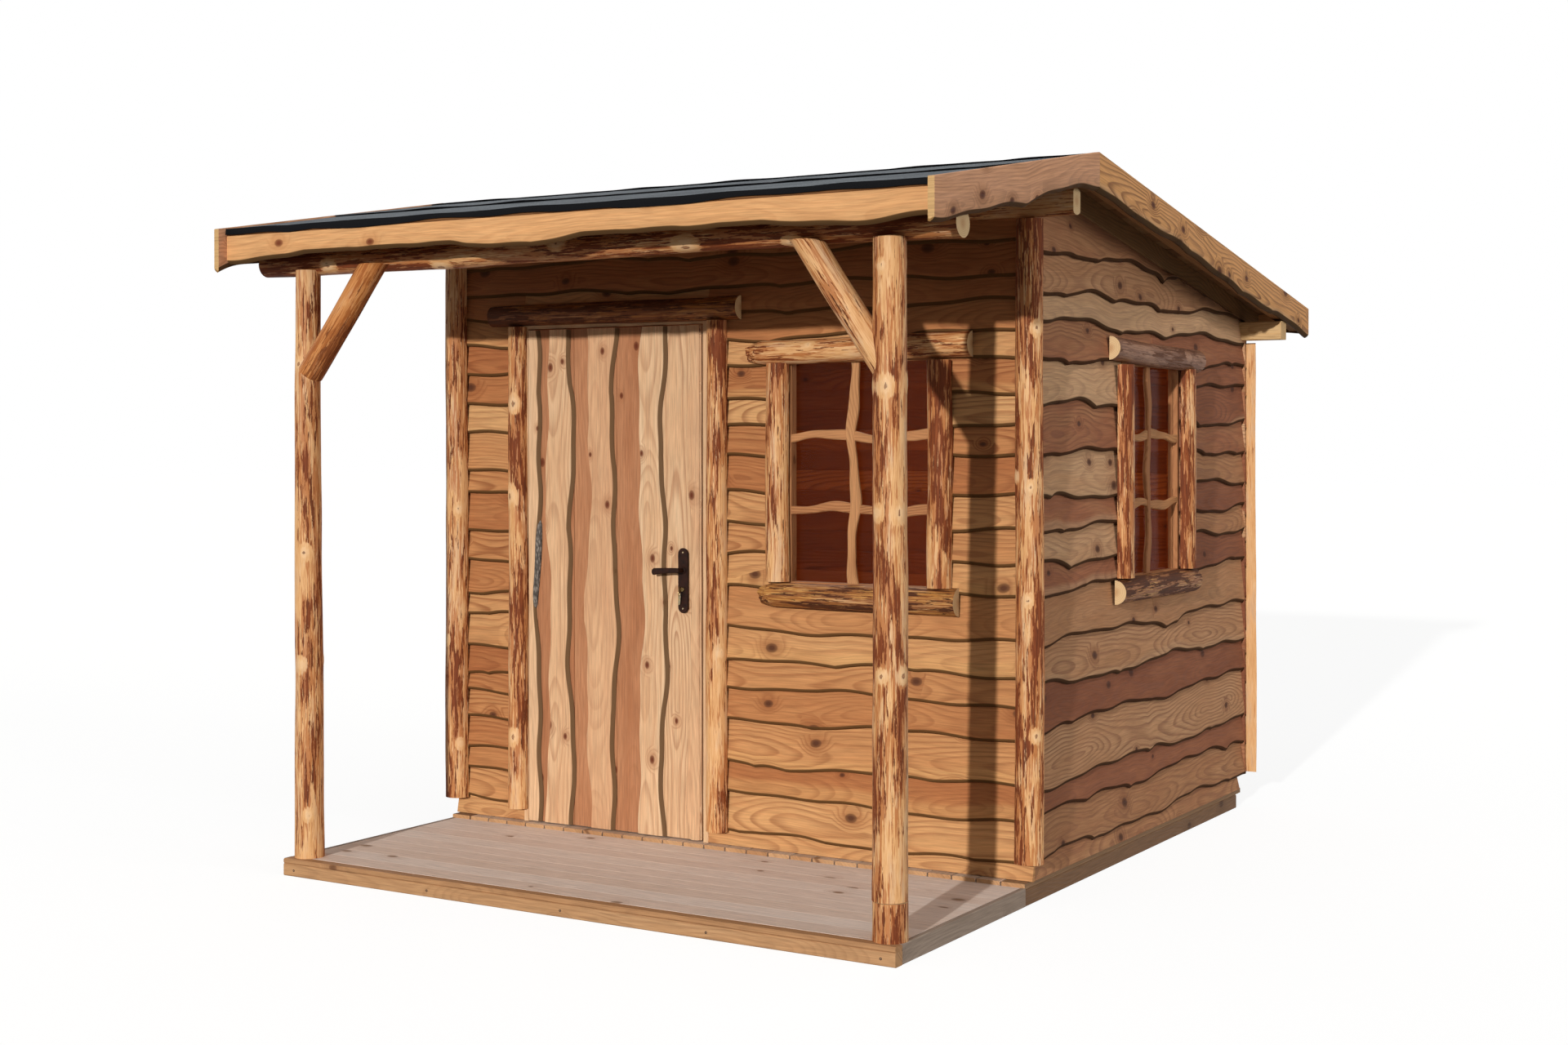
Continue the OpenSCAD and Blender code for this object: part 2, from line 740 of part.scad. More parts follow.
module door_lock_plates() {
    color("#2a1714") {
        translate([spindle_x, door_y, spindle_z]) lock_plate();
        translate([spindle_x, door_back_y, spindle_z]) mirror([0, 1, 0]) lock_plate();
    }
}

// One lever with its neck, from the face of the lock plate
module lever_arm() {
    rotate([90, 0, 0]) {
        translate([0, 0, plate_t + lever_run]) cylinder(d = lever_neck_d, h = lever_out - plate_t);
        translate([0, 0, lever_out]) {
            rotate([0, -90, 0]) cylinder(d1 = lever_d[0], d2 = lever_d[1], h = lever_len);
            translate([-lever_len, 0, 0]) sphere(d = lever_d[1]);
        }
    }
}

// Levers at both sides on one spindle
module door_lever() {
    color("#2a1714") {
        translate([spindle_x, door_y, spindle_z]) lever_arm();
        translate([spindle_x, door_back_y, spindle_z]) mirror([0, 1, 0]) lever_arm();
        translate([spindle_x, door_y - lever_out, spindle_z]) rotate([-90, 0, 0])
            cylinder(d = spindle_d, h = door_t + 2 * lever_out);
    }
}

deck_bearers();
deck_boards();
deck_side_boards();
cabin_bearers();
cabin_floor();
front_wall_left();
front_wall_over_door();
front_wall_right();
left_wall();
right_wall();
rear_wall();
front_corner_logs();
rear_corner_logs();
door_frame();
door_jamb_logs();
door_header_log();
front_window_jamb_logs();
front_window_header_log();
front_window_sill_log();
front_window_frame();
front_window_glass();
side_window_jamb_logs();
side_window_header_log();
side_window_sill_log();
side_window_frame();
side_window_glass();
left_post();
right_post();
left_brace();
right_brace();
front_purlin();
ridge_purlin();
rear_purlin();
front_rafters();
rear_rafters();
front_roof_boards();
rear_roof_boards();
front_felt();
rear_felt();
left_verge_boards();
right_verge_boards();
front_fascia();
rear_fascia();
door_hinge_plates();
door_boards();
door_ledges();
door_hinge_straps();
door_lock_plates();
door_lever();
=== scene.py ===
import functools
import math

import bmesh
import bpy
import numpy as np
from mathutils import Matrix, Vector


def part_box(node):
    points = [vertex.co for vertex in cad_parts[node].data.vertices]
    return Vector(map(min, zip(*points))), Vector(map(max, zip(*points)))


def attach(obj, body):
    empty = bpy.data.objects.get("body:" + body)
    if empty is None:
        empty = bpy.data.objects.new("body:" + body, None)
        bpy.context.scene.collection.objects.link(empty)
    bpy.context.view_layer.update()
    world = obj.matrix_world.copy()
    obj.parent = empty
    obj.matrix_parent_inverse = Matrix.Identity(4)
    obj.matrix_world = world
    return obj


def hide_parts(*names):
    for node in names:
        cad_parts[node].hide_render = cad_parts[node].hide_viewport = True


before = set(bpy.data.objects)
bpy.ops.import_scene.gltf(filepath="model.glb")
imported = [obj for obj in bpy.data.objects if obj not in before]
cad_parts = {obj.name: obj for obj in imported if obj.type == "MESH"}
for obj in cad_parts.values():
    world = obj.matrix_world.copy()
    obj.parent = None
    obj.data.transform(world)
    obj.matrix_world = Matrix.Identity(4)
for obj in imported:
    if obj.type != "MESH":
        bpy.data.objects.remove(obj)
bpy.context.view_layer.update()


# Veranda deck. Softwood boards lie along the front on three bearers, and a board closes each end.
# Rain and sun have turned the tops a silvery beige. The front bearer shows below the first board,
# and screws hold it there.
mm = 0.001
deck_low, deck_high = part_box("deck_boards")
front_bearer_depth = 45 * mm
deck_end_board = 20 * mm
deck_board_count = 9
deck_joint = 0.8 * mm
deck_arris = 0.3 * mm


class Pile:
    """Boards or logs that make one piece, with what the wood's pattern needs at each point."""

    def __init__(self):
        self.points, self.faces, self.finishes, self.marks, self.count = [], [], [], {}, 0

    def add(self, points, faces, marks, finish=0):
        total = int(np.prod(points.shape[:-1]))
        self.points.append(points.reshape(-1, 3))
        self.faces += [[self.count + i for i in face] for face in faces]
        self.finishes += [finish] * len(faces)
        for key, value in marks.items():
            wide = key == "grain"
            shape = points.shape if wide else points.shape[:-1]
            value = np.broadcast_to(value, shape).reshape((total, 3) if wide else (total,))
            self.marks.setdefault(key, []).append(value)
        self.count += total

    def sweep(self, rings, marks=None, finish=0, end_finish=None):
        """Skin a row of closed rings of points, and close its two ends."""
        marks = marks or {"grain": rings, "tone": 0.5, "edge": 0.2}
        n, m = rings.shape[:2]
        index = np.arange(n * m).reshape(n, m)
        beside = np.roll(index, -1, axis=1)
        skin = np.stack([index[:-1], beside[:-1], beside[1:], index[1:]], axis=-1).reshape(-1, 4)
        self.add(rings, skin.tolist(), marks, finish)
        fan = [[i, (i + 1) % m, m] for i in range(m)]
        for end in (0, -1):
            closed = {
                key: np.broadcast_to(value, rings.shape if key == "grain" else (n, m))[end]
                for key, value in marks.items()}
            closed = {
                key: np.concatenate([value, value.mean(axis=0, keepdims=True)])
                for key, value in closed.items()}
            ring = np.concatenate([rings[end], rings[end].mean(axis=0, keepdims=True)])
            self.add(ring, fan, closed, finish if end_finish is None else end_finish)

    def piece(self, name, finishes, body, slot, *stands_for, crease=35):
        """Make the pile one object that rides on a body, in place of the nodes it stands for."""
        mesh = bpy.data.meshes.new(name)
        mesh.from_pydata(np.concatenate(self.points).tolist(), [], self.faces)
        for key, parts in self.marks.items():
            wide = key == "grain"
            layer = mesh.attributes.new(key, "FLOAT_VECTOR" if wide else "FLOAT", "POINT")
            layer.data.foreach_set("vector" if wide else "value", np.concatenate(parts).ravel())
        mesh.polygons.foreach_set("material_index", self.finishes)
        mesh.polygons.foreach_set("use_smooth", [True] * len(self.faces))
        tidy = bmesh.new()
        tidy.from_mesh(mesh)
        bmesh.ops.recalc_face_normals(tidy, faces=tidy.faces)
        tidy.to_mesh(mesh)
        tidy.free()
        mesh.set_sharp_from_angle(angle=math.radians(crease))
        for finish in finishes:
            mesh.materials.append(finish)
        thing = bpy.data.objects.new(name, mesh)
        bpy.context.scene.collection.objects.link(thing)
        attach(thing, body)
        if stands_for:
            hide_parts(*stands_for)
        return thing


chance = np.random.default_rng(27)
plank_step = 0.12


def xyz(x, y, z):
    """Points from three coordinates, each a number or an array."""
    return np.stack(np.broadcast_arrays(x, y, z), axis=-1)


def along_x(s, a, b):
    """Length along X, then Y and Z."""
    return xyz(s, a, b)


def along_y(s, a, b):
    """Length along Y, then X and Z."""
    return xyz(a, s, b)


def along_z(s, a, b):
    """Length along Z, then X and Y."""
    return xyz(a, b, s)


def plank(pile, place, s0, s1, a0, a1, b0, b1, arris=2 * mm, tone=None, finish=0, end_finish=None, top=None):
    """A sawn board between two ends, with its arrises taken off; top trims b along the length."""
    number = chance.random()
    s = np.linspace(s0, s1, max(2, int(abs(s1 - s0) / plank_step)))[:, None]
    e = arris
    a = np.array([a0 + e, a1 - e, a1, a1, a1 - e, a0 + e, a0, a0])[None]
    b = np.array([b0, b0, b0 + e, b1 - e, b1, b1, b1 - e, b0 + e])[None]
    b = np.broadcast_to(b, (len(s), 8))
    if top is not None:
        b = np.minimum(b, top(s))
    across = (a - (a0 + a1) / 2) + (b - (b0 + b1) / 2)
    grain = xyz(s + 7 * number, across, number)
    pile.sweep(
        place(s, a, b), {"grain": grain, "tone": chance.random() if tone is None else tone, "edge": 0.2},
        finish, end_finish)


def linear(code):
    """An sRGB hex colour as Blender's linear colour."""
    parts = [int(code[i:i + 2], 16) / 255 for i in (1, 3, 5)]
    return [c / 12.92 if c <= 0.04045 else ((c + 0.055) / 1.055) ** 2.4 for c in parts] + [1.0]


def add_node(tree, kind, *inputs, stops=(), named=None, **settings):
    """Add one node: its settings, then its inputs in order, each a value, a node or a socket.

    A kind in capitals is a sum, such as MULTIPLY, and a mix is always one of colours."""
    if kind.isupper():
        kind, settings["operation"] = "Math", kind
    node = tree.nodes.new("ShaderNode" + kind)
    if kind == "Mix":
        node.data_type = "RGBA"
    for key, value in settings.items():
        setattr(node, key, value)
    for i, (place, code) in enumerate(stops):
        steps = node.color_ramp.elements
        step = steps[i] if i < 2 else steps.new(place)
        step.position, step.color = place, linear(code)
    sockets = [socket for socket in node.inputs if socket.enabled]
    pairs = list(zip(sockets, inputs)) + [(node.inputs[key], v) for key, v in (named or {}).items()]
    for socket, value in pairs:
        if isinstance(value, bpy.types.Node):
            value = next(out for out in value.outputs if out.enabled)
        if isinstance(value, bpy.types.NodeSocket):
            tree.links.new(value, socket)
        elif value is not None:
            socket.default_value = value
    return node


soft = {"interpolation_type": "SMOOTHSTEP"}


def own_nodes(thing):
    """Clear the nodes of a material or world, and give the function that adds new ones to it."""
    thing.use_nodes = True
    thing.node_tree.nodes.clear()
    return functools.partial(add_node, thing.node_tree)


def new_material(name):
    material = bpy.data.materials.new(name)
    return material, own_nodes(material)


def sawn_larch(
        name, tones, late, sap, bark, knot, ring=9 * mm, figure=0.5, knot_share=0.16, knot_size=(0.06, 0.16),
        sap_reach=55 * mm, sap_mix=0.6, rough=(0.72, 0.58), gloss=0.15):
    """Sawn, unpainted larch: flat-cut growth rings in arches, straight lines towards the edges, knots
    with the grain bent round them, paler sapwood along a live edge and brown bast on its bevel, dark
    enough on the wall boards to be partly painted shade."""
    material, add = new_material(name)
    grain = add("Attribute", attribute_name="grain").outputs["Vector"]
    along, across, number = add("SeparateXYZ", grain).outputs
    tone = add("Attribute", attribute_name="tone").outputs["Fac"]
    edge = add("Attribute", attribute_name="edge").outputs["Fac"]

    # The grain sways by some millimetres over a hand's width, and the cut runs nearer to and farther
    # from the heart along the board, which opens and closes the arches.
    sway_at = add("VectorMath", grain, (1.6, 7.0, 40.0), operation="MULTIPLY")
    sway = add("TexNoise", sway_at, 1.0, 2.0, 0.5)
    heart_at = add("CombineXYZ", add("MULTIPLY", along, 1.3), add("MULTIPLY", number, 90.0), 0.0)
    heart_noise = add("TexNoise", heart_at, 1.0, 1.0, 0.5)
    heart = add("MapRange", heart_noise, 0.3, 0.7, 4 * mm, 90 * mm)

    # Knots: 20 to 50 mm ovals, one to a cell of 200 by 130 mm, with the rings pushed aside round them.
    knot_at = add(
        "CombineXYZ", add("MULTIPLY_ADD", along, 5.0, number), add("MULTIPLY_ADD", across, 7.5, number), 0.0)
    spread = add(
        "VectorMath", knot_at,
        add("VectorMath", add("CombineXYZ", number, number, 0.0), (37.0, 53.0, 0.0), operation="MULTIPLY"),
        operation="ADD")
    cells = add("TexVoronoi", spread, voronoi_dimensions="2D", named={"Scale": 1.0})
    pick = add("SeparateColor", cells.outputs["Color"])
    gate = add("GREATER_THAN", pick.outputs[0], 1 - knot_share)
    size = add("MapRange", pick.outputs[1], 0.0, 1.0, *knot_size)
    reach = add("DIVIDE", cells.outputs["Distance"], size)
    spot = add("MULTIPLY", gate, add("MapRange", reach, 0.7, 1.0, 1.0, 0.0, **soft))
    halo = add("MULTIPLY", gate, add("MapRange", reach, 0.8, 3.0, 1.0, 0.0, **soft))

    # Growth rings, drawn about three times as wide apart as real ones so that they show.
    side = add("MULTIPLY_ADD", sway, 60 * mm, across)
    span = add("ADD", add("MULTIPLY", side, side), add("MULTIPLY", heart, heart))
    radius = add("MULTIPLY_ADD", halo, 26 * mm, add("SQRT", span))
    turn = add("FRACT", add("MULTIPLY", radius, 1 / ring))
    rise = add("MapRange", turn, 0.35, 0.88, 0.0, 1.0, **soft)
    fall = add("MapRange", turn, 0.9, 1.0, 1.0, 0.0)
    line = add("MULTIPLY", rise, fall)
    fibre_at = add("VectorMath", grain, (9.0, 210.0, 1.0), operation="MULTIPLY")
    fibre = add("TexNoise", fibre_at, 1.0, 3.0, 0.6)
    blotch_at = add("VectorMath", grain, (3.0, 16.0, 70.0), operation="MULTIPLY")
    blotch = add("TexNoise", blotch_at, 1.0, 3.0, 0.55)

    tint = add("MULTIPLY_ADD", add("ADD", blotch, -0.5), 0.55, tone)
    inner_tones = [((i + 1) / (len(tones) - 1), tone_code) for i, tone_code in enumerate(tones[1:-1])]
    body = add("ValToRGB", tint, stops=[(0.0, tones[0]), (1.0, tones[-1])] + inner_tones)
    sap_pick = add("FRACT", add("MULTIPLY", tone, 7.3))
    sap_wide = add("MapRange", sap_pick, 0.62, 1.0, -20 * mm, sap_reach)
    sap_line = add("SUBTRACT", add("MULTIPLY_ADD", sway, 60 * mm, edge), add("ADD", sap_wide, 30 * mm))
    sap_part = add("MapRange", sap_line, -14 * mm, 10 * mm, sap_mix, 0.0, **soft)
    ground = add("Mix", sap_part, body, linear(sap))
    plain = add("FRACT", add("MULTIPLY", number, 23.7))
    bold = add("MapRange", plain, 0.0, 1.0, 0.35 * figure, 1.15 * figure)
    drawn = add("MULTIPLY", add("MapRange", blotch, 0.3, 0.7, 0.45, 1.0), add("MULTIPLY", line, bold))
    ringed = add("Mix", drawn, ground, linear(late))
    shade = add("MapRange", fibre, 0.25, 0.75, 0.74, 1.18)
    fibred = add("Mix", 1.0, ringed, shade, blend_type="MULTIPLY")
    warm = add("Mix", add("MULTIPLY", halo, 0.4), fibred, linear(late))
    eye = add("MapRange", reach, 0.3, 0.9, 0.95, 0.55)
    knotted = add("Mix", add("MULTIPLY", spot, eye), warm, linear(knot))
    # The bevel's bast: real brown inner bark, and on the wall boards partly painted shade for the lap's
    # shadow.
    bast = add("MapRange", edge, -3.5 * mm, -0.5 * mm, 0.94, 0.0)
    edged = add("Mix", bast, knotted, linear(bark))

    height = add("MULTIPLY_ADD", line, 0.5, add("MULTIPLY", fibre, 0.8))
    raised = add("MULTIPLY_ADD", spot, 0.8, height)
    normal = add("Bump", 0.35, 1.2 * mm, named={"Height": raised})
    dull = add("MapRange", line, 0.0, 1.0, *rough)
    shine = add("MapRange", bast, 0.0, 0.94, gloss, 0.03)
    shader = add(
        "BsdfPrincipled",
        named={"Base Color": edged, "Roughness": dull, "Normal": normal, "Specular IOR Level": shine})
    add("OutputMaterial", shader)
    return material


# Weathered larch: planed, then left bare outdoors, so silver-beige with the rings faint.
weathered_larch = sawn_larch(
    "weathered_larch", ["#E6CFBD", "#EAD5C5", "#EDDACB", "#EFDED0"], late="#CBAE9A", sap="#E2D2C1",
    bark="#8A7462", knot="#97775E", ring=9 * mm, figure=0.28, knot_share=0.14, rough=(0.82, 0.72))
# Tanned larch: edges that face the sun but shed the rain keep a honey-brown colour.
tanned_larch = sawn_larch(
    "tanned_larch", ["#AC7E56", "#B88B61", "#C0966D", "#B2855C"], late="#8A6040", sap="#C5A57C",
    bark="#7A5C3E", knot="#6E4930", ring=9 * mm, figure=0.4)

# Greyed larch: the end boards are a dull, blotchy grey-brown, and their colour is kept dark as painted shade
# for the side of the deck.
greyed_and_shaded_larch = sawn_larch(
    "greyed_and_shaded_larch", ["#93806F", "#A69383", "#B9A799", "#CBBBAE"], late="#6F5D4E", sap="#C2B2A2",
    bark="#6E5E50", knot="#6A5342", ring=11 * mm, figure=0.6, rough=(0.85, 0.75))

deck = Pile()
first_joint = deck_low.y + front_bearer_depth
plank(
    deck, along_x, deck_low.x, deck_high.x, deck_low.y, first_joint - deck_joint / 4, deck_low.z, deck_high.z,
    arris=4 * mm, tone=0.1, finish=1)
pitch_of_boards = (deck_high.y - first_joint) / deck_board_count
for i in range(deck_board_count):
    y = first_joint + i * pitch_of_boards
    plank(
        deck, along_x, deck_low.x + deck_end_board, deck_high.x - deck_end_board, y + deck_joint / 2,
        y + pitch_of_boards - deck_joint / 2, deck_low.z, deck_high.z, arris=deck_arris)
deck.piece("deck_planks", [weathered_larch, tanned_larch], "cabin", "deck_timber", "deck_boards")

bearers = Pile()
bearer_low, bearer_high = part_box("deck_bearers")
for i, y in enumerate((
        bearer_low.y, (bearer_low.y + bearer_high.y - front_bearer_depth) / 2,
        bearer_high.y - front_bearer_depth)):
    inset = deck_end_board if i else 0.0
    plank(
        bearers, along_x, bearer_low.x + inset, bearer_high.x - inset, y, y + front_bearer_depth,
        bearer_low.z, bearer_high.z, arris=3 * mm, tone=0.35)
bearers.piece("deck_joists", [tanned_larch], "cabin", "deck_timber", "deck_bearers")

end_low, end_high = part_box("deck_side_boards")
ends = Pile()
for x in (end_low.x, end_high.x - deck_end_board):
    plank(ends, along_y, end_low.y, end_high.y, x, x + deck_end_board, end_low.z, end_high.z, tone=0.25)
ends.piece("deck_end_boards", [greyed_and_shaded_larch], "cabin", "deck_timber", "deck_side_boards")


# Screws of the front bearer. Five countersunk steel heads, each with a small recess, hold the board
# in front. They have rusted dark outdoors.
screw_head = 9 * mm
screw_places = (0.02, 0.27, 0.5, 0.73, 0.98)


def rusty_steel():
    """Bare steel gone dark brown outdoors: blotchy, dull and slightly rough."""
    material, add = new_material("rusty_steel")
    spots = add("TexNoise", add("TexCoord").outputs["Object"], 400.0, 4.0, 0.6)
    colour = add("ValToRGB", spots, stops=[(0.3, "#2B2320"), (0.7, "#5A4334")])
    normal = add("Bump", 0.4, 0.2 * mm, named={"Height": spots})
    dull = add("MapRange", spots, 0.3, 0.7, 0.4, 0.7)
    shader = add(
        "BsdfPrincipled", named={"Base Color": colour, "Metallic": 0.6, "Normal": normal, "Roughness": dull})
    add("OutputMaterial", shader)
    return material


def turned(pile, centre, axis, profile, sides=24):
    """A turned shape on an axis: the profile lists (distance along the axis, radius)."""
    axis = Vector(axis).normalized()
    out = axis.orthogonal().normalized()
    up = axis.cross(out)
    angle = np.linspace(0, 2 * math.pi, sides, endpoint=False)
    round_ = np.outer(np.cos(angle), out) + np.outer(np.sin(angle), up)
    rings = np.stack([np.array(centre) + np.array(axis) * d + round_ * r for d, r in profile])
    pile.sweep(rings)


screws = Pile()
for share in screw_places:
    x = bearer_low.x + share * (bearer_high.x - bearer_low.x)
    r = screw_head / 2
    turned(
        screws, (x, bearer_low.y, (bearer_low.z + bearer_high.z) / 2), (0, -1, 0),
        [
            (-6 * mm, r * 0.5), (-0.5 * mm, r), (0.6 * mm, r * 0.97), (0.8 * mm, r * 0.8),
            (0.7 * mm, r * 0.42), (-1.4 * mm, r * 0.34)])
screws.piece("deck_screws", [rusty_steel()], "cabin", "dark_ironmongery")


# Cabin base. Joists run from front to back, and the outer one shows as the brown skirting under the
# side wall. The floor's boards lie along the joists, so their tanned ends show under the front wall.
floor_low, floor_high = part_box("cabin_floor")
joist_low, joist_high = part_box("cabin_bearers")
joist_count = 5
joist_wide = 45 * mm
floor_board_wide = 92 * mm
floor_joint = 6 * mm

# Brown larch: sheltered from the rain under the wall, darker than the sunny front.
brown_larch = sawn_larch(
    "brown_larch", ["#7B5B41", "#876549", "#8F6D50", "#9A7857"], late="#5F432D", sap="#A08262",
    bark="#54402E", knot="#4E3524", figure=0.35)
# Floor larch: indoors and under the door, pale and dry.
floor_larch = sawn_larch(
    "floor_larch", ["#C6A88E", "#CFB49C", "#D8C0AA", "#C9AD94"], late="#AE8C6E", sap="#DCC9AF",
    bark="#9A7C58", knot="#8E6845", figure=0.35)
joists = Pile()
for i in range(joist_count):
    x = joist_low.x + i * (joist_high.x - joist_low.x - joist_wide) / (joist_count - 1)
    plank(
        joists, along_y, joist_low.y, joist_high.y, x, x + joist_wide, joist_low.z, joist_high.z,
        arris=3 * mm)
joists.piece("cabin_joists", [brown_larch], "cabin", "deck_timber", "cabin_bearers")

floor = Pile()
floor_board_count = round((floor_high.x - floor_low.x) / floor_board_wide)
floor_pitch = (floor_high.x - floor_low.x) / floor_board_count
for i in range(floor_board_count):
    x = floor_low.x + i * floor_pitch
    plank(
        floor, along_y, floor_low.y, floor_high.y, x + floor_joint / 2, x + floor_pitch - floor_joint / 2,
        floor_low.z, floor_high.z, arris=1.5 * mm, finish=int(i in (0, floor_board_count - 1)), end_finish=2)
floor.piece("floor_planks", [floor_larch, brown_larch, tanned_larch], "cabin", "deck_timber", "cabin_floor")


# Walls. Wide larch boards with one live edge lap down over each other like roof tiles, nailed to a
# frame and lined inside with level boards. Each live edge was peeled, not sawn, so it wanders and
# still carries brown bast on its bevel; the bevel's dark band is drawn wider and darker than the bast
# alone, as painted shade under each board's lip.
lap_thick = 20 * mm
lap_over = 26 * mm
lining_face = 26 * mm
lining_board = 96 * mm
left_low, left_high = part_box("front_wall_left")
over_low, over_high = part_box("front_wall_over_door")
right_low, right_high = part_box("front_wall_right")
side_low, side_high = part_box("right_wall")
rear_low, rear_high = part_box("rear_wall")
wall_face = left_low.y
rear_face = rear_high.y
side_face = right_high.x
wall_deep = left_high.y - left_low.y
wall_foot = left_low.z
front_glass_low, front_glass_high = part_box("front_window_glass")
side_glass_low, side_glass_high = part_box("side_window_glass")
window_rim = 20 * mm

# Heights of the live edges from the ground up in millimetres, as on the real walls.
left_rows = (
    141, 252, 350, 457, 568, 642, 747, 877, 955, 1081, 1208, 1348, 1438, 1588, 1714, 1831, 1932, 2037, 2130,
    2245)
right_rows = (
    126, 265, 385, 541, 658, 760, 874, 1030, 1149, 1254, 1371, 1506, 1620, 1718, 1844, 1937, 2037, 2130, 2245)
over_rows = (2130, 2245)
side_low_rows = (134, 283, 377, 575, 718, 869)
side_front_rows = (1042, 1139, 1252, 1363, 1530, 1692, 1850)
side_back_rows = (1055, 1184, 1278, 1383, 1512, 1638, 1784, 1872)
side_high_rows = (1976, 2080, 2215)
# The right wall's boards from the lowest up: 0 is red-brown heartwood, 1 is khaki outer wood.
side_low_woods = (0.45, 0.5, 0.15, 0.72, 0.05, 0.66, 0.58)
side_front_woods = (0.25, 0.88, 0.25, 0.9, 0.32, 0.95, 0.36)
side_back_woods = (0.05, 0.5, 0.05, 0.48, 0.3, 0.1, 0.15, 0.2)
side_high_woods = (0.95, 0.6, 0.45)
plain_rows = (140, 262, 381, 512, 640, 748, 880, 1014, 1130, 1262, 1390, 1498, 1626, 1748, 1860)


sway_lengths = (1.3, 0.61, 0.29)
branch_gap = 0.45
edge_step = 0.02
# Sway, dips and bevel of the live edges; the bevel is drawn wide enough that its dark bast also paints the
# shade under the lap.
front_edge = (6 * mm, 14 * mm, 14 * mm)
side_edge = (9 * mm, 34 * mm, 15 * mm)


def live_edge(s, number, sway, dips):
    """How far a live edge strays along its length: a slow sway, with pointed dips below old branches."""
    draw = np.random.default_rng(int(number * 1e6))
    stray = np.zeros_like(s)
    for length in sway_lengths:
        stray += sway * length ** 0.7 * np.sin(2 * math.pi * (s / length + draw.random()))
    for at in np.arange(-2.3, 2.3, branch_gap) + draw.uniform(-0.2, 0.2, 11):
        deep, wide = dips * draw.random() ** 2, draw.uniform(0.03, 0.07)
        stray -= deep * np.exp(-np.abs(s - at) / wide)
    return stray


def lap_board(pile, place, s, low, top, bevel, trim, tone, number, cut=False):
    """One lapped board: a bevelled live edge below, a face that leans back under the next board."""
    low, top = low[:, None], top[:, None]
    e = 2 * mm if cut else bevel
    deep = np.array([lap_thick + mm, lap_thick * 0.8, lap_thick * 0.42, lap_thick * 0.12, 0.0])
    rise = np.array([0.95, 0.3, 0.0, 0.3, 1.0]) * e
    lean = np.array([0.33, 0.66, 1.0])
    height = np.concatenate([low + rise, low + e + (top - low - e) * lean, top], axis=1)
    depth = np.concatenate([deep, lap_thick * 0.95 * lean, [lap_thick + 5 * mm]])[None]
    edge = np.concatenate([np.full(4, 0.2 if cut else -0.01), [0.2 if cut else 0.0]])
    edge = np.concatenate([
        np.broadcast_to(edge, (len(s), 5)), (top - low - e) * lean + (0.2 if cut else 0.0),
        np.full((len(s), 1), 0.2)], axis=1)
    across = height - (low + top) / 2
    grain = xyz(s[:, None] + 9 * number, across, number)
    height = np.clip(height, *[limit[:, None] if np.ndim(limit) else limit for limit in trim])
    pile.sweep(place(s[:, None], depth, height), {"grain": grain, "tone": tone, "edge": edge})


def clad(
        pile, place, s0, s1, rows, top, sway, dips, bevel, wall, foot=None, hole=None, first_short=(0.0, 0.0),
        painted_light_rise=0.0, woods=None):
    """Lap boards up one bay of a wall; top(s) is where the wall ends, hole is (s0, s1, z0, z1),
    painted_light_rise is how much lighter the tone is painted towards the top and darker near the
    ground, as painted light, and woods gives each board's tone instead."""
    lows = [round((wall_foot if foot is None else foot) / mm)] + list(rows)
    draws = [np.random.default_rng([wall, low]).random(2) for low in lows]
    # Painted light: each board's tone grows lighter with its height up the wall and darker near the ground.
    tones = woods or [draw[1] + painted_light_rise * (low * mm / left_high.z - 0.6) for draw, low in zip(draws, lows)]

    def edge_line(i, s):
        if i == len(lows):
            return top(s)
        plain = np.full_like(s, lows[i] * mm)
        return plain if i == 0 else plain + live_edge(s, draws[i][0], sway, dips)

    ends = sorted({s0, s1} | ({min(max(end, s0), s1) for end in hole[:2]} if hole else set()))
    for i, low in enumerate(lows):
        for a, b in zip(ends, ends[1:]):
            if i == 0:
                a += first_short[0] if a == s0 else 0.0
                b -= first_short[1] if b == s1 else 0.0
            s = np.linspace(a, b, max(3, int((b - a) / edge_step)))
            foot_line, head_line = edge_line(i, s), edge_line(i + 1, s)
            if i + 1 < len(lows):
                head_line = head_line + lap_over
            trim = [-1.0, top(s)]
            if hole and hole[0] <= (a + b) / 2 <= hole[1]:
                if foot_line.min() > hole[2] and head_line.max() < hole[3]:
                    continue
                if (foot_line + head_line).mean() < hole[2] + hole[3]:
                    trim[1] = np.minimum(trim[1], hole[2])
                else:
                    trim[0] = hole[3]
            lap_board(
                pile, place, s, foot_line, np.maximum(head_line, foot_line + 2 * bevel), bevel, trim,
                tones[i], draws[i][0], cut=i == 0)


def line_inside(pile, place, s0, s1, top, hole=None):
    """Level lining boards with small V joints, from the frame to the room's face, on the frame's sole."""
    z = wall_foot
    highest = max(top(np.array([s0, s1, (s0 + s1) / 2])))
    while z < highest - 5 * mm:
        z1 = min(z + lining_board, highest)
        runs = [(s0, s1, z, z1)]
        if hole is not None and z1 > hole[2] and z < hole[3]:
            runs = [(s0, hole[0], z, z1), (hole[1], s1, z, z1)]
            if z < hole[2]:
                runs.append((hole[0], hole[1], z, hole[2]))
            if z1 > hole[3]:
                runs.append((hole[0], hole[1], hole[3], z1))
        for a, b, low, high in runs:
            plank(
                pile, place, a, b, lining_face, wall_deep, low, high, arris=3 * mm, top=top,
                finish=int(z > wall_foot))
        z = z1


def on_front(s, d, z):
    return xyz(s, wall_face + d, z)


def on_right(s, d, z):
    return xyz(side_face - d, s, z)


def on_left(s, d, z):
    return xyz(-side_face + d, s, z)


def on_rear(s, d, z):
    return xyz(s, rear_face - d, z)


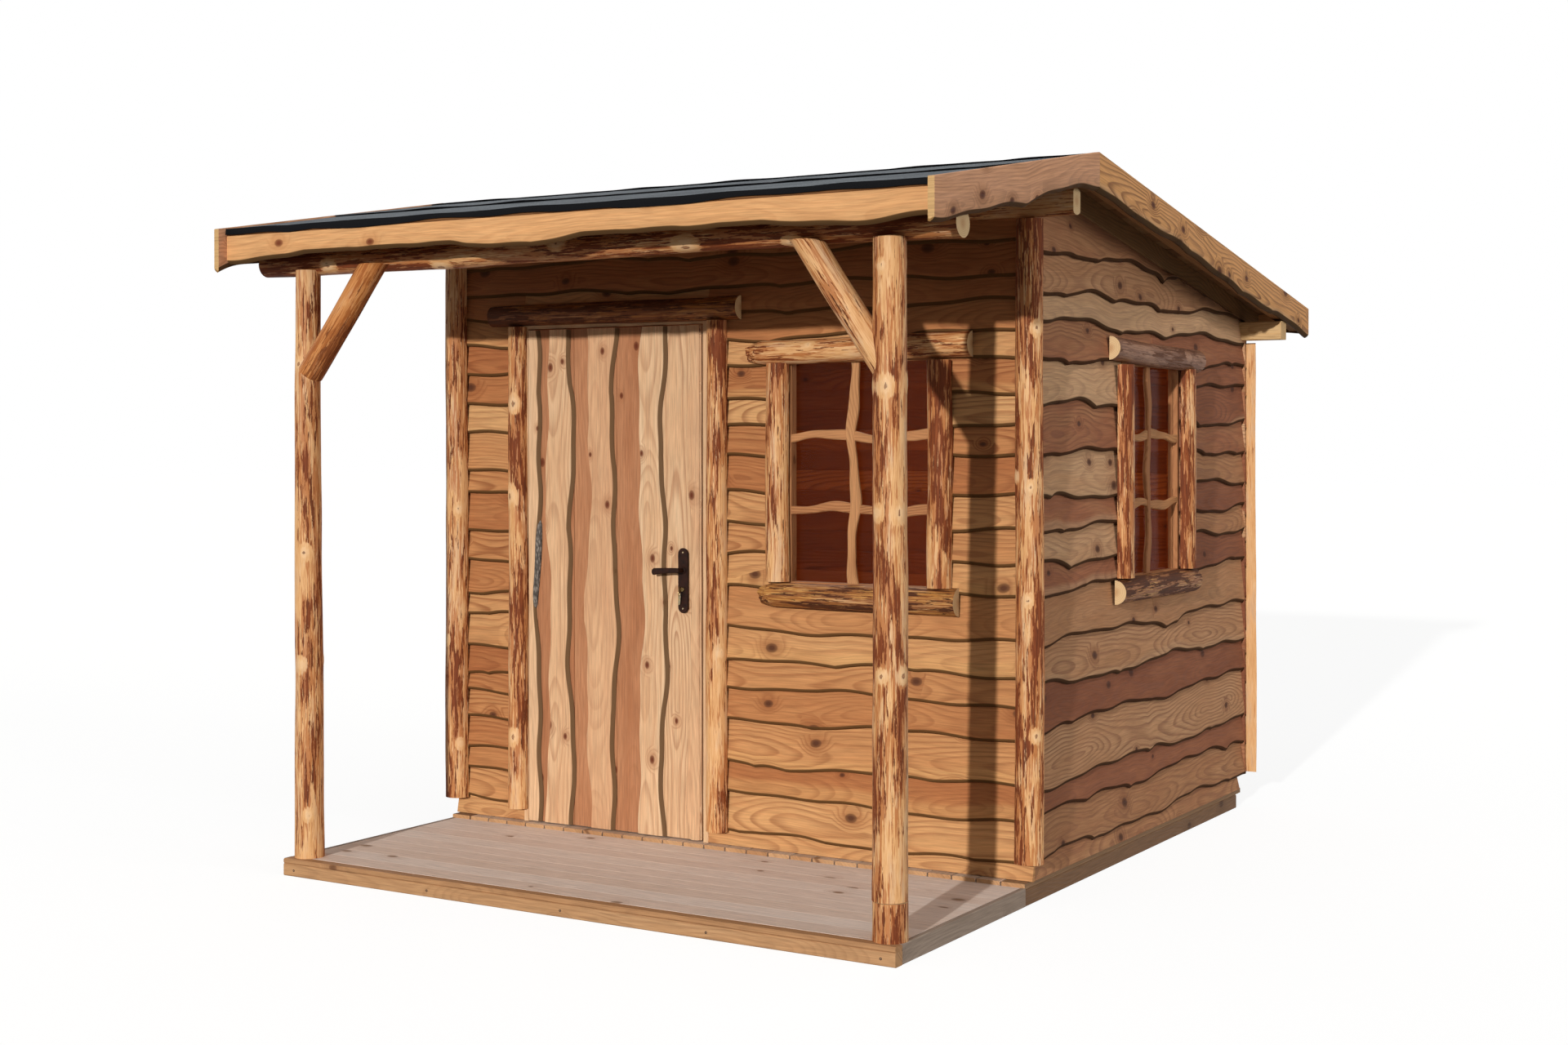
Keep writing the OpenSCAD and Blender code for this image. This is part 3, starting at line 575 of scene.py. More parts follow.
# Front wall larch: warm red-brown heartwood and honey sapwood, kept dry under the veranda roof, with
# dark brown bast on the bevels that is partly painted shade under the lap.
front_larch = sawn_larch(
    "front_wall_larch", ["#A2633A", "#AE7144", "#B87E4E", "#C28B59", "#CC9A66"], late="#7E4220",
    sap="#D2A066", bark="#553A20", knot="#4E2A18", ring=12 * mm, figure=0.75, knot_share=0.26, sap_mix=0.45)
# Lining larch: the same boards indoors, planed and oiled, a deep red-brown.
lining_larch = sawn_larch(
    "lining_larch", ["#80320F", "#963F16", "#AC4E1C", "#BE6028"], late="#5E220A", sap="#B06432",
    bark="#5A3018", knot="#4E2010", ring=14 * mm, figure=0.7, rough=(0.7, 0.6), gloss=0.06)
# Side wall larch: the same wood out in the weather, from dull red-brown heartwood to khaki outer wood,
# with near-black bast on the bevels that is partly painted shade under the lap.
side_larch = sawn_larch(
    "side_wall_larch", ["#86523A", "#9E6648", "#B07E58", "#BF9069", "#CCA27A"], late="#70402C", sap="#C9A07A",
    bark="#3A2415", knot="#4A2C20", ring=12 * mm, figure=0.66, knot_share=0.24, sap_mix=0.5,
    rough=(0.8, 0.68))

wall_finishes = [front_larch, lining_larch]
side_finishes = [side_larch, lining_larch]
level_top = lambda s: np.full_like(s, left_high.z)
front_window = (
    front_glass_low.x - window_rim, front_glass_high.x + window_rim, front_glass_low.z - window_rim,
    front_glass_high.z + window_rim)
side_window = (
    side_glass_low.y - window_rim, side_glass_high.y + window_rim, side_glass_low.z - window_rim,
    side_glass_high.z + window_rim)

front_left = Pile()
clad(front_left, on_front, left_low.x, left_high.x, left_rows, level_top, *front_edge, wall=1)
line_inside(front_left, on_front, left_low.x + wall_deep, left_high.x, level_top)
front_left.piece("front_boards_left", wall_finishes, "cabin", "larch_boards", "front_wall_left")

over_door = Pile()
clad(over_door, on_front, over_low.x, over_high.x, over_rows, level_top, *front_edge, wall=1, foot=over_low.z)
line_inside(
    over_door, on_front, over_low.x, over_high.x, level_top, hole=(over_low.x, over_high.x, -1.0, over_low.z))
over_door.piece("front_boards_over_door", wall_finishes, "cabin", "larch_boards", "front_wall_over_door")

front_right = Pile()
clad(
    front_right, on_front, right_low.x, right_high.x, right_rows, level_top, *front_edge, wall=1,
    hole=front_window)
line_inside(front_right, on_front, right_low.x, right_high.x - wall_deep, level_top, hole=front_window)
front_right.piece("front_boards_right", wall_finishes, "cabin", "larch_boards", "front_wall_right")

# The side walls rise to the rafters, so their top follows both roof slopes.
roof_pitch = math.radians(9.8)
ridge_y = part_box("front_felt")[1].y
side_peak = side_high.z


def side_top(s):
    return side_peak - np.abs(s - ridge_y) * math.tan(roof_pitch)


side_start, side_end = wall_face + lap_thick, rear_face
first_short = 84 * mm
right_side = Pile()
bay = (side_window[0] + side_window[1]) / 2
clad(
    right_side, on_right, side_start, bay, side_low_rows + side_front_rows + side_high_rows, side_top,
    *side_edge, wall=3, hole=side_window, woods=side_low_woods + side_front_woods + side_high_woods)
clad(
    right_side, on_right, bay, side_end, side_low_rows + side_back_rows + side_high_rows, side_top,
    *side_edge, wall=3, hole=side_window, first_short=(0.0, first_short),
    woods=side_low_woods + side_back_woods + side_high_woods)
line_inside(right_side, on_right, side_low.y, side_high.y, side_top, hole=side_window)
right_side.piece("right_boards", side_finishes, "cabin", "larch_boards", "right_wall")

left_side = Pile()
# The left wall's boards are painted lighter towards the top and darker near the ground, as painted light.
clad(
    left_side, on_left, side_start, side_end, plain_rows + side_high_rows, side_top, *side_edge, wall=4,
    first_short=(0.0, first_short), painted_light_rise=0.9)
line_inside(left_side, on_left, side_low.y, side_high.y, side_top)
left_side.piece("left_boards", side_finishes, "cabin", "larch_boards", "left_wall")

rear_side = Pile()
rear_top = lambda s: np.full_like(s, rear_high.z)
# The rear wall's boards are painted lighter towards the top and darker near the ground, as painted light.
clad(
    rear_side, on_rear, rear_low.x, rear_high.x, plain_rows, rear_top, *side_edge, wall=5,
    first_short=(first_short, first_short), painted_light_rise=0.9)
line_inside(rear_side, on_rear, rear_low.x + wall_deep, rear_high.x - wall_deep, rear_top)
rear_side.piece("rear_boards", side_finishes, "cabin", "larch_boards", "rear_wall")


# Corner logs. A half log, peeled by hand with a drawknife, is nailed over each corner to hide the
# boards' ends. It stops short of the floor, sawn square.
outward = (0, -1, 0)
log_step = 0.014
log_crease = 50


def log(
        pile, foot, head, wide, seed, face, whole=False, eyes=(), bast=0.5, hewn=(0.0, 0.0), wander=0.02,
        lumps=0.02, flat=None, sawn=None):
    """A peeled log from foot to head with a diameter at each, or the half of it that faces one way.

    Each eye is a knot: (share of the length, angle from the face in degrees, size in metres)."""
    draw = np.random.default_rng(seed)
    foot, head = np.array(foot, float), np.array(head, float)
    length = np.linalg.norm(head - foot)
    axis = (head - foot) / length
    out = np.array(face, float)
    side = np.cross(axis, out) / np.linalg.norm(out)
    n = max(8, int(length / log_step))
    t = np.linspace(0, 1, n)[:, None]
    m = 30 if whole else 18
    angle = (
        np.linspace(0, 2 * math.pi, m, endpoint=False) if whole
        else np.linspace(-math.pi / 2, math.pi / 2, m))[None]
    radius = (wide[0] + (wide[1] - wide[0]) * t) / 2 * np.ones_like(angle)
    s = t * length
    shape = np.ones_like(radius)
    for k in range(1, 5):
        phase, turn = draw.random(2) * 2 * math.pi
        shape += lumps / k * np.sin(2 * math.pi * s * (0.6 + 0.9 * k) + phase) * np.cos(k * angle + turn)
    near = np.full_like(radius, 4.0)
    for share, degrees, size in eyes:
        gap = (angle - math.radians(degrees) + math.pi) % (2 * math.pi) - math.pi
        away = np.hypot((s - share * length) * 0.8, gap * radius) / size
        near = np.minimum(near, away)
        shape += 0.06 * np.exp(-away ** 2) - 0.02 * np.exp(-(away / 0.3) ** 2)
    for end, cut in zip((0, 1), hewn):
        if cut:
            away = np.abs(s - end * length) / cut
            chips = 1 + 0.25 * np.sin(3 * angle + 5 * end) + 0.2 * np.sin(7 * angle + seed)
            shape -= 0.42 * chips * np.clip(1 - away, 0, 1) ** 1.6
    radius = radius * shape
    drift = wander * wide[0] * np.sin(2 * math.pi * t * draw.uniform(0.7, 1.3) + draw.random() * 6)
    across, beside = radius * np.cos(angle), radius * np.sin(angle) + drift
    if flat:
        across = np.clip(across, -flat / 2, flat / 2)
    if not whole:
        across = np.maximum(across, 0.0)
        back = np.zeros((n, 1))
        across = np.concatenate([across, back, back], axis=1)
        beside = np.concatenate([beside, beside[:, -1:] * 0.4, beside[:, :1] * 0.4], axis=1)
        near = np.concatenate([near, near[:, -1:], near[:, :1]], axis=1)
    rings = foot + (s * axis)[:, None, :] + across[..., None] * out + beside[..., None] * side
    if sawn:
        rings[..., 2] = np.minimum(rings[..., 2], sawn)
    grain = xyz(s + 3.7 * (seed % 50), across, beside)
    pile.sweep(rings, {"grain": grain, "tone": bast, "edge": near}, 0, 1)


def peeled_larch(name, wood, bast, groove="#A9622F"):
    """Larch log peeled with a drawknife: pale sapwood in long flats, with streaks of red-brown inner
    bark left between the strokes, and pale eyes where branches were cut off."""
    material, add = new_material(name)
    grain = add("Attribute", attribute_name="grain").outputs["Vector"]
    cover = add("Attribute", attribute_name="tone").outputs["Fac"]
    near = add("Attribute", attribute_name="edge").outputs["Fac"]
    # Streaks are 4 to 6 mm wide and a hand long, patches of bast 8 mm by 150 mm, and both come and go
    # over half a metre.
    drawn = []
    for length, width, detail in (
            (8.0, 170.0, 3.0), (9.0, 105.0, 4.0), (2.6, 14.0, 1.0), (5.0, 34.0, 3.0), (16.0, 420.0, 2.0)):
        at = add("VectorMath", grain, (length, width, width), operation="MULTIPLY")
        drawn.append(add("TexNoise", at, 1.0, detail, 0.65))
    streak, patch, zone, stain, fine = drawn
    bare = add("MapRange", near, 0.8, 1.9, 0.3, 0.0, **soft)
    share = add("SUBTRACT", add("MULTIPLY_ADD", cover, 0.45, add("MULTIPLY", zone, 0.6)), bare)
    streak_on = add("MapRange", add("ADD", streak, share), 0.93, 1.0, 0.0, 0.8, **soft)
    left_on = add("MapRange", add("ADD", patch, share), 1.03, 1.055, 0.0, 0.95, **soft)
    pale = add(
        "ValToRGB", add("MULTIPLY_ADD", fine, 0.5, add("MULTIPLY", stain, 0.5)),
        stops=[(0.32, wood[0]), (0.68, wood[-1]), (0.5, wood[1])])
    stained = add("Mix", add("MapRange", stain, 0.5, 0.66, 0.0, 0.45), pale, linear("#B08468"))
    honey = add("Mix", streak_on, stained, linear(groove))
    brown = add(
        "ValToRGB", add("MULTIPLY_ADD", fine, 0.45, add("MULTIPLY", streak, 0.55)),
        stops=[(0.35, bast[0]), (0.68, bast[-1]), (0.5, bast[1])])
    streaked = add("Mix", left_on, honey, brown)
    ragged = add("MULTIPLY_ADD", patch, 1.5, add("ADD", near, -0.75))
    collar = add("MapRange", ragged, 0.5, 1.2, 0.5, 0.0, **soft)
    rings = add("SINE", add("MULTIPLY", ragged, 15.0))
    eye_wood = add("Mix", add("MapRange", rings, -1.0, 1.0, 0.0, 0.16), linear(wood[-1]), linear(groove))
    eyed = add("Mix", collar, streaked, eye_wood)
    core = add("MapRange", ragged, 0.26, 0.4, 0.9, 0.0, **soft)
    heart = add("ValToRGB", ragged, stops=[(0.1, "#9C6C48"), (0.3, "#5A2E18")])
    cored = add("Mix", core, eyed, heart)
    height = add(
        "MULTIPLY_ADD", left_on, 0.9, add("MULTIPLY_ADD", streak_on, 0.4, add("MULTIPLY", fine, 0.6)))
    normal = add("Bump", 0.55, 2.0 * mm, named={"Height": height})
    dull = add("MapRange", left_on, 0.0, 0.95, 0.5, 0.72)
    shader = add(
        "BsdfPrincipled",
        named={"Base Color": cored, "Roughness": dull, "Normal": normal, "Specular IOR Level": 0.2})
    add("OutputMaterial", shader)
    return material


def sawn_log_end(name, wood, heart):
    """End grain of a sawn log: growth rings round the heart, fine saw lines and a darker middle."""
    material, add = new_material(name)
    grain = add("Attribute", attribute_name="grain").outputs["Vector"]
    flat = add("VectorMath", grain, (0.0, 1.0, 1.0), operation="MULTIPLY")
    warp = add("TexNoise", flat, 30.0, 2.0, 0.5)
    radius = add("MULTIPLY_ADD", warp, 9 * mm, add("VectorMath", flat, operation="LENGTH").outputs["Value"])
    # Rings 2 mm apart on the real log, drawn 6 mm apart so that they show.
    turn = add("FRACT", add("MULTIPLY", radius, 1 / (6 * mm)))
    line = add("MapRange", turn, 0.4, 0.95, 0.0, 0.5, **soft)
    inner = add("MapRange", radius, 8 * mm, 32 * mm, 0.6, 0.0, **soft)
    ground = add("Mix", inner, linear(wood), linear(heart))
    ringed = add("Mix", line, ground, linear(heart))
    saw = add("TexNoise", flat, 700.0, 2.0, 0.6)
    colour = add("Mix", 1.0, ringed, add("MapRange", saw, 0.3, 0.7, 0.86, 1.08), blend_type="MULTIPLY")
    normal = add("Bump", 0.3, 0.8 * mm, named={"Height": saw})
    dull = add("MapRange", line, 0.0, 0.5, 0.8, 0.66)
    shader = add("BsdfPrincipled", named={"Base Color": colour, "Normal": normal, "Roughness": dull})
    add("OutputMaterial", shader)
    return material


corner_wide = (104 * mm, 96 * mm)
peeled_log = peeled_larch(
    "peeled_larch", ("#C38A54", "#D9A670", "#EAC79A"), ("#451B0B", "#6C3014", "#914C24"))
log_end = sawn_log_end("sawn_log_end", "#D9B887", "#B07A48")
log_finishes = [peeled_log, log_end]


def log_piece(pile, name, node, finishes=log_finishes):
    """Make a pile of logs one object; only their sawn ends are sharp."""
    return pile.piece(name, finishes, "cabin", "debarked_log", node, crease=log_crease)


def upright_log(pile, x, y, low, high, *rest, **marks):
    """A log that stands between the heights of a box."""
    log(pile, (x, y, low.z), (x, y, high.z), *rest, **marks)


front_corner_low, front_corner_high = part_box("front_corner_logs")
rear_corner_low, rear_corner_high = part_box("rear_corner_logs")
corner_x = front_corner_high.x - corner_wide[0] / 2
rear_corner_flat = 0.42
front_corners, rear_corners = Pile(), Pile()
upright_log(
    front_corners, -corner_x, wall_face, front_corner_low, front_corner_high, corner_wide, 11, outward,
    eyes=[(0.53, 40, 0.016), (0.29, -20, 0.014), (0.1, 50, 0.014)], bast=0.42)
upright_log(
    front_corners, corner_x, wall_face, front_corner_low, front_corner_high, corner_wide, 12, outward,
    eyes=[(0.83, 52, 0.016), (0.6, -45, 0.015), (0.585, 28, 0.014), (0.41, 15, 0.014), (0.2, 45, 0.016)],
    bast=0.51)
log_piece(front_corners, "front_corner_halves", "front_corner_logs")
for i, x in enumerate((-corner_x, corner_x)):
    upright_log(
        rear_corners, x, rear_face, rear_corner_low, rear_corner_high, corner_wide, 13 + i,
        (0, rear_corner_flat, 0), eyes=[(0.4, 20, 0.022), (0.72, -30, 0.022)], bast=0.05)
log_piece(rear_corners, "rear_corner_halves", "rear_corner_logs")


# Door surround. A planed frame lines the opening, half logs stand at both sides of it, and a thicker
# half log with most of its bast left on lies across their tops.
door_frame_thick = 22 * mm
door_log_wide = (88 * mm, 82 * mm)
door_header_wide = (82 * mm, 88 * mm)
frame_low, frame_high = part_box("door_frame")
jamb_low, jamb_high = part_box("door_jamb_logs")
header_low, header_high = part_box("door_header_log")

# Planed pine: pale cream and pinkish boards, finely lined, with small red-brown knots.
planed_pine = sawn_larch(
    "planed_pine", ["#C58F66", "#D0A27A", "#D6AE85", "#DDBB92", "#E2C49E"], late="#BF8658", sap="#E3C8A2",
    bark="#7A5B3C", knot="#8A4A2C", ring=10 * mm, figure=0.34, knot_share=0.2, sap_reach=40 * mm,
    rough=(0.66, 0.54))
door_surround = Pile()
for x in (frame_low.x, frame_high.x - door_frame_thick):
    plank(
        door_surround, along_z, frame_low.z, frame_high.z, x, x + door_frame_thick, frame_low.y, frame_high.y,
        tone=0.5)
plank(
    door_surround, along_x, frame_low.x + door_frame_thick, frame_high.x - door_frame_thick, frame_low.y,
    frame_high.y, frame_high.z - door_frame_thick, frame_high.z, tone=0.4)
door_surround.piece("door_lining", [planed_pine], "cabin", "door_timber", "door_frame")

door_jambs = Pile()
jamb_in = door_log_wide[0] / 2
upright_log(
    door_jambs, jamb_low.x + jamb_in, wall_face, jamb_low, jamb_high, door_log_wide, 21, outward,
    eyes=[(0.84, 10, 0.022), (0.65, -15, 0.025), (0.15, 5, 0.021)], bast=0.42)
upright_log(
    door_jambs, jamb_high.x - jamb_in, wall_face, jamb_low, jamb_high, door_log_wide, 22, outward,
    eyes=[(0.35, 50, 0.018)], bast=0.46)
log_piece(door_jambs, "door_side_halves", "door_jamb_logs")

# Dark bast: the same logs where the peeler left most of the inner bark on.
barky_log = peeled_larch(
    "bast_covered_larch", ("#8E5220", "#A86A30", "#C68F4E"), ("#321708", "#4E260F", "#6E3716"),
    groove="#6E3814")
door_head = Pile()
header_z = (header_low.z + header_high.z) / 2
log(
    door_head, (header_low.x, wall_face, header_z), (header_high.x, wall_face, header_z), door_header_wide,
    23, outward, bast=0.55)
log_piece(door_head, "door_head_half", "door_header_log", [barky_log, log_end])


# Windows. Each is a fixed pane in a planed frame, with wavy live-edge bars across it and half logs
# round it: two stand between a sill log below and a header log above. In front, both of these are axed
# round at one end.
window_log_wide = (94 * mm, 90 * mm)
window_header_wide = (86 * mm, 90 * mm)
window_sill_wide = (90 * mm, 98 * mm)
bar_wide = 18.5 * mm
cross_bar_wide = 16 * mm
bar_deep = 16 * mm
bar_sway = 9 * mm
bar_shift = 26 * mm
bar_shares = (0.665, 0.335)
sash_deep = 40 * mm
glass_thick = 4 * mm

# Bar larch: thin strips of warm brown wood with bold rings, used for the frames too.
bar_larch = sawn_larch(
    "bar_larch", ["#A87048", "#B47C50", "#BE895B"], late="#7E4A28", sap="#C4925F", bark="#7A5630",
    knot="#6E4426", ring=7 * mm, figure=0.85)


def wavy_bar(pile, place, s0, s1, middle, deep0, wide, seed):
    """A thin strip with two live edges, which sways from side to side."""
    draw = np.random.default_rng(seed)
    s = np.linspace(s0, s1, 60)
    line = middle + bar_sway * np.sin(2 * math.pi * ((s - s0) / 0.42 + draw.random()))
    line += 0.28 * bar_sway * np.sin(2 * math.pi * (s - s0) / 0.17 + seed)
    half = wide * (1 + 0.18 * np.sin(2 * math.pi * ((s - s0) / 0.31 + draw.random())))
    e = 4 * mm
    a = np.stack([
        line - half + e, line + half - e, line + half, line + half, line + half - e, line - half + e,
        line - half, line - half], axis=1)
    b = np.array([0, 0, e, bar_deep - e, bar_deep, bar_deep, bar_deep - e, e])[None] + deep0
    grain = xyz(s[:, None] + seed, a - middle + b, draw.random())
    pile.sweep(place(s[:, None], a, b), {"grain": grain, "tone": draw.random(), "edge": 0.2})


def window(name, where, face, mid, low, high, cad, head_eyes, head_finishes, head_lift, bast, axed):
    """One window; where(level, deep, height) places a point on the wall, face looks out of it."""
    upright = lambda s, a, b: where(a, b, s)
    level = lambda s, a, b: where(s, b, a)
    glass_deep = (wall_deep - glass_thick) / 2
    sash = Pile()
    sash_between = [(wall_deep - sash_deep) / 2, (wall_deep + sash_deep) / 2]
    l0, l1 = low[0] - window_rim, high[0] + window_rim
    z0, z1 = low[1] - window_rim, high[1] + window_rim
    standing = lambda s, a, b: where(b, a, s)
    plank(sash, where, l0, l1, *sash_between, z0, low[1], tone=0.1)
    plank(sash, where, l0, l1, *sash_between, high[1], z1, tone=0.1)
    plank(sash, standing, low[1], high[1], *sash_between, l0, low[0], tone=0.2)
    plank(sash, standing, low[1], high[1], *sash_between, high[0], l1, tone=0.1)
    sash.piece(name + "_lining", [bar_larch], "cabin", "door_timber", cad + "_window_frame")

    bars = Pile()
    bar_face = glass_deep - bar_deep - 0.5 * mm
    wavy_bar(bars, upright, low[1], high[1], mid - bar_shift, bar_face - 3 * mm, bar_wide, 61 + len(name))
    for i, share in enumerate(bar_shares):
        wavy_bar(
            bars, level, low[0], high[0], low[1] + share * (high[1] - low[1]), bar_face, cross_bar_wide,
            62 + 3 * i + len(name))
    bars.piece(name + "_bars", [bar_larch], "cabin", "door_timber")

    jambs, header, sill = Pile(), Pile(), Pile()
    for side, edge in ((-1, low[0]), (1, high[0])):
        at = edge + side * window_log_wide[0] / 2
        log(
            jambs, where(at, 0.0, low[1]), where(at, 0.0, high[1]), window_log_wide, 31 + side + len(name),
            face, bast=bast + 0.06 * side)
    log_piece(jambs, name + "_side_halves", cad + "_window_jamb_logs")
    head_low, head_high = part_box(cad + "_window_header_log")
    reach = max((head_high - head_low).xy) / 2
    z = high[1] + max(window_header_wide) / 2
    log(
        header, where(mid - reach, 0.0, z + head_lift), where(mid + reach, 0.0, z - head_lift),
        window_header_wide, 41 + len(name), face, eyes=head_eyes, bast=bast - 0.04, hewn=(axed, 0.0))
    log_piece(header, name + "_head_half", cad + "_window_header_log", head_finishes)
    foot_low, foot_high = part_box(cad + "_window_sill_log")
    reach = max((foot_high - foot_low).xy) / 2
    z = low[1] - max(window_sill_wide) / 2
    log(
        sill, where(mid - reach, 0.0, z), where(mid + reach, 0.0, z), window_sill_wide, 51 + len(name), face,
        bast=bast + 0.05, hewn=(axed, 0.0))
    log_piece(sill, name + "_sill_half", cad + "_window_sill_log", [flaky_log, log_end])


# Flaky bast: sill logs keep dark scales of inner bark, with orange wood between them.
flaky_log = peeled_larch(
    "flaky_bast_larch", ("#A2672F", "#B98446", "#D0A268"), ("#2A140A", "#452210", "#66381C"),
    groove="#7C4420")
# Greyed log: the header out in the weather has lost its honey colour.
grey_log = peeled_larch(
    "weathered_peeled_larch", ("#7E5540", "#946A50", "#AB8164"), ("#46281B", "#623E2B", "#80583F"),
    groove="#6E4630")


window(
    "front_window", on_front, (0, -1, 0), (front_glass_low.x + front_glass_high.x) / 2,
    (front_glass_low.x, front_glass_low.z), (front_glass_high.x, front_glass_high.z), cad="front",
    head_eyes=[(0.3, -30, 0.014)], head_finishes=log_finishes, head_lift=-8 * mm, bast=0.5, axed=65 * mm)
window(
    "side_window", on_right, (1, 0, 0), (side_glass_low.y + side_glass_high.y) / 2,
    (side_glass_low.y, side_glass_low.z), (side_glass_high.y, side_glass_high.z), cad="side",
    head_eyes=[(0.78, -10, 0.018)], head_finishes=[grey_log, log_end], head_lift=12 * mm, bast=0.54, axed=0.0)


def window_glass():
    """Float glass: clear and mirror-flat, with the faint smears of a wiped pane."""
    material, add = new_material("float_glass")
    smear = add("TexNoise", add("TexCoord").outputs["Object"], 5.0, 3.0, 0.6)
    dull = add("MapRange", smear, 0.4, 0.8, 0.0, 0.05)
    shader = add(
        "BsdfPrincipled",
        named={
            "Base Color": linear("#F4F8F6"), "Transmission Weight": 1.0, "IOR": 1.45, "Alpha": 0.08,
            "Specular IOR Level": 0.03, "Roughness": dull})
    add("OutputMaterial", shader)
    return material


float_glass = window_glass()
for name, node in (("front_pane", "front_window_glass"), ("side_pane", "side_window_glass")):
    pane_low, pane_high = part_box(node)
    pane = Pile()
    plank(
        pane, along_x, pane_low.x, pane_high.x, pane_low.y, pane_high.y, pane_low.z, pane_high.z,
        arris=0.5 * mm)
    pane.piece(name, [float_glass], "cabin", "glass", node)


# Posts and braces. Two whole peeled logs stand on the deck and carry the veranda's purlin, each with a
# knee brace. The right post is two lengths, joined by a cut a hand above the deck.
left_post_wide = (106 * mm, 88 * mm)
right_post_wide = (110 * mm, 102 * mm)
brace_wide = (92 * mm, 92 * mm)
left_brace_lap = 34 * mm
brace_top = 20 * mm
left_brace_reach, left_brace_rise, left_brace_foot = 326 * mm, 406 * mm, 45 * mm
right_brace_reach, right_brace_rise = 310 * mm, 442 * mm
post_joint = 182 * mm
joint_gap = 2 * mm
left_post_low, left_post_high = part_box("left_post")
right_post_low, right_post_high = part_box("right_post")
purlin_low, purlin_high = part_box("front_purlin")
purlin_z = (purlin_low.z + purlin_high.z) / 2
purlin_y = (purlin_low.y + purlin_high.y) / 2


def whorls(*rows):
    """The eyes that each year's branches leave round a log: (share, first angle, size, count) a row."""
    return [
        (share + 0.006 * (i % 3), first + i * 360 / count + 13 * (i % 2), size * (1 - 0.2 * (i % 2)))
        for share, first, size, count in rows for i in range(count)]


post_x = (left_post_low.x + left_post_high.x) / 2
post_y = (left_post_low.y + left_post_high.y) / 2
left_post = Pile()
upright_log(
    left_post, post_x, post_y, left_post_low, left_post_high, left_post_wide, 71, outward, whole=True,
    eyes=whorls((0.33, 5, 0.018, 3), (0.075, 40, 0.015, 3), (0.52, 30, 0.018, 2), (0.84, 0, 0.015, 3)),
    bast=0.33)
log_piece(left_post, "left_post_log", "left_post")
# Orange log: a brace that faces the sun has kept its fresh inner bark colour.
orange_log = peeled_larch(
    "orange_peeled_larch", ("#B06A34", "#C4834A", "#D8A066"), ("#5A2A12", "#7C421E", "#9A5C30"),
    groove="#96501F")
left_knee = Pile()
brace_head = purlin_low.z + brace_top
foot_x, brace_y = post_x + left_brace_foot, post_y - left_brace_lap
log(
    left_knee, (foot_x, brace_y, purlin_z - left_brace_rise), (foot_x + left_brace_reach, brace_y, purlin_z),
    brace_wide, 72, outward, whole=True, eyes=[(0.62, 10, 0.013)], bast=0.5, sawn=brace_head)
left_brace = log_piece(left_knee, "left_knee_brace", "left_brace", [orange_log, log_end])
# It casts no shadow, so that the boards beside the door stay in clear light.
left_brace.visible_shadow = False

post_x = (right_post_low.x + right_post_high.x) / 2
right_post = Pile()
cut_share = (post_joint - right_post_low.z) / (right_post_high.z - right_post_low.z)
cut_wide = right_post_wide[0] + cut_share * (right_post_wide[1] - right_post_wide[0])
log(
    right_post, (post_x, post_y, right_post_low.z), (post_x, post_y, post_joint - joint_gap / 2),
    (right_post_wide[0], cut_wide), 73, outward, whole=True, bast=0.34, wander=0.0)
log(
    right_post, (post_x, post_y, post_joint + joint_gap / 2), (post_x, post_y, right_post_high.z),
    (cut_wide, right_post_wide[1]), 74, outward, whole=True,
    eyes=whorls((0.775, 11, 0.022, 4), (0.585, 59, 0.02, 4), (0.34, 75, 0.018, 4), (0.955, 0, 0.014, 3)),
    bast=0.42, wander=0.01)
log_piece(right_post, "right_post_log", "right_post")
right_knee = Pile()
log(
    right_knee, (post_x, post_y, purlin_z - right_brace_rise), (post_x - right_brace_reach, post_y, purlin_z),
    brace_wide, 75, outward, whole=True, bast=0.36, sawn=brace_head)
log_piece(right_knee, "right_knee_brace", "right_brace")


# Purlins. A peeled log lies on the posts, a second on the front wall under the ridge, and a squared
# timber on the rear wall. All three run out to the verge boards.
front_purlin_wide = (90 * mm, 90 * mm)
ridge_purlin_wide = (90 * mm, 90 * mm)
ridge_purlin_deep = 58 * mm
ridge_low, ridge_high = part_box("ridge_purlin")
rear_purlin_low, rear_purlin_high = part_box("rear_purlin")
rear_purlin_tall = 78 * mm

front_beam = Pile()
log(
    front_beam, (purlin_low.x, purlin_y, purlin_z), (purlin_high.x, purlin_y, purlin_z), front_purlin_wide,
    81, outward, whole=True,
    eyes=[(0.66, 38, 0.03), (0.3, 60, 0.026), (0.8, 50, 0.022), (0.12, 20, 0.022), (0.48, -20, 0.022)],
    bast=0.5, wander=0.05, lumps=0.03)
log_piece(front_beam, "front_purlin_log", "front_purlin")
ridge_beam = Pile()
log(
    ridge_beam, (ridge_low.x, (ridge_low.y + ridge_high.y) / 2, (ridge_low.z + ridge_high.z) / 2),
    (ridge_high.x, (ridge_low.y + ridge_high.y) / 2, (ridge_low.z + ridge_high.z) / 2), ridge_purlin_wide, 82,
    outward, whole=True, bast=0.45, flat=ridge_purlin_deep)
log_piece(ridge_beam, "ridge_purlin_log", "ridge_purlin")

# New larch: sawn timber that has seen little sun, light straw yellow.
new_larch = sawn_larch(
    "new_larch", ["#C39A66", "#CDA673", "#D6B283"], late="#A87C48", sap="#DDBF92", bark="#86633A",
    knot="#7A4E2C")
rear_beam = Pile()
plank(
    rear_beam, along_x, rear_purlin_low.x, rear_purlin_high.x, rear_purlin_low.y, rear_purlin_high.y,
    rear_purlin_low.z, rear_purlin_low.z + rear_purlin_tall, arris=4 * mm, tone=0.6)
rear_beam.piece("rear_purlin_timber", [new_larch], "cabin", "roof_timber", "rear_purlin")


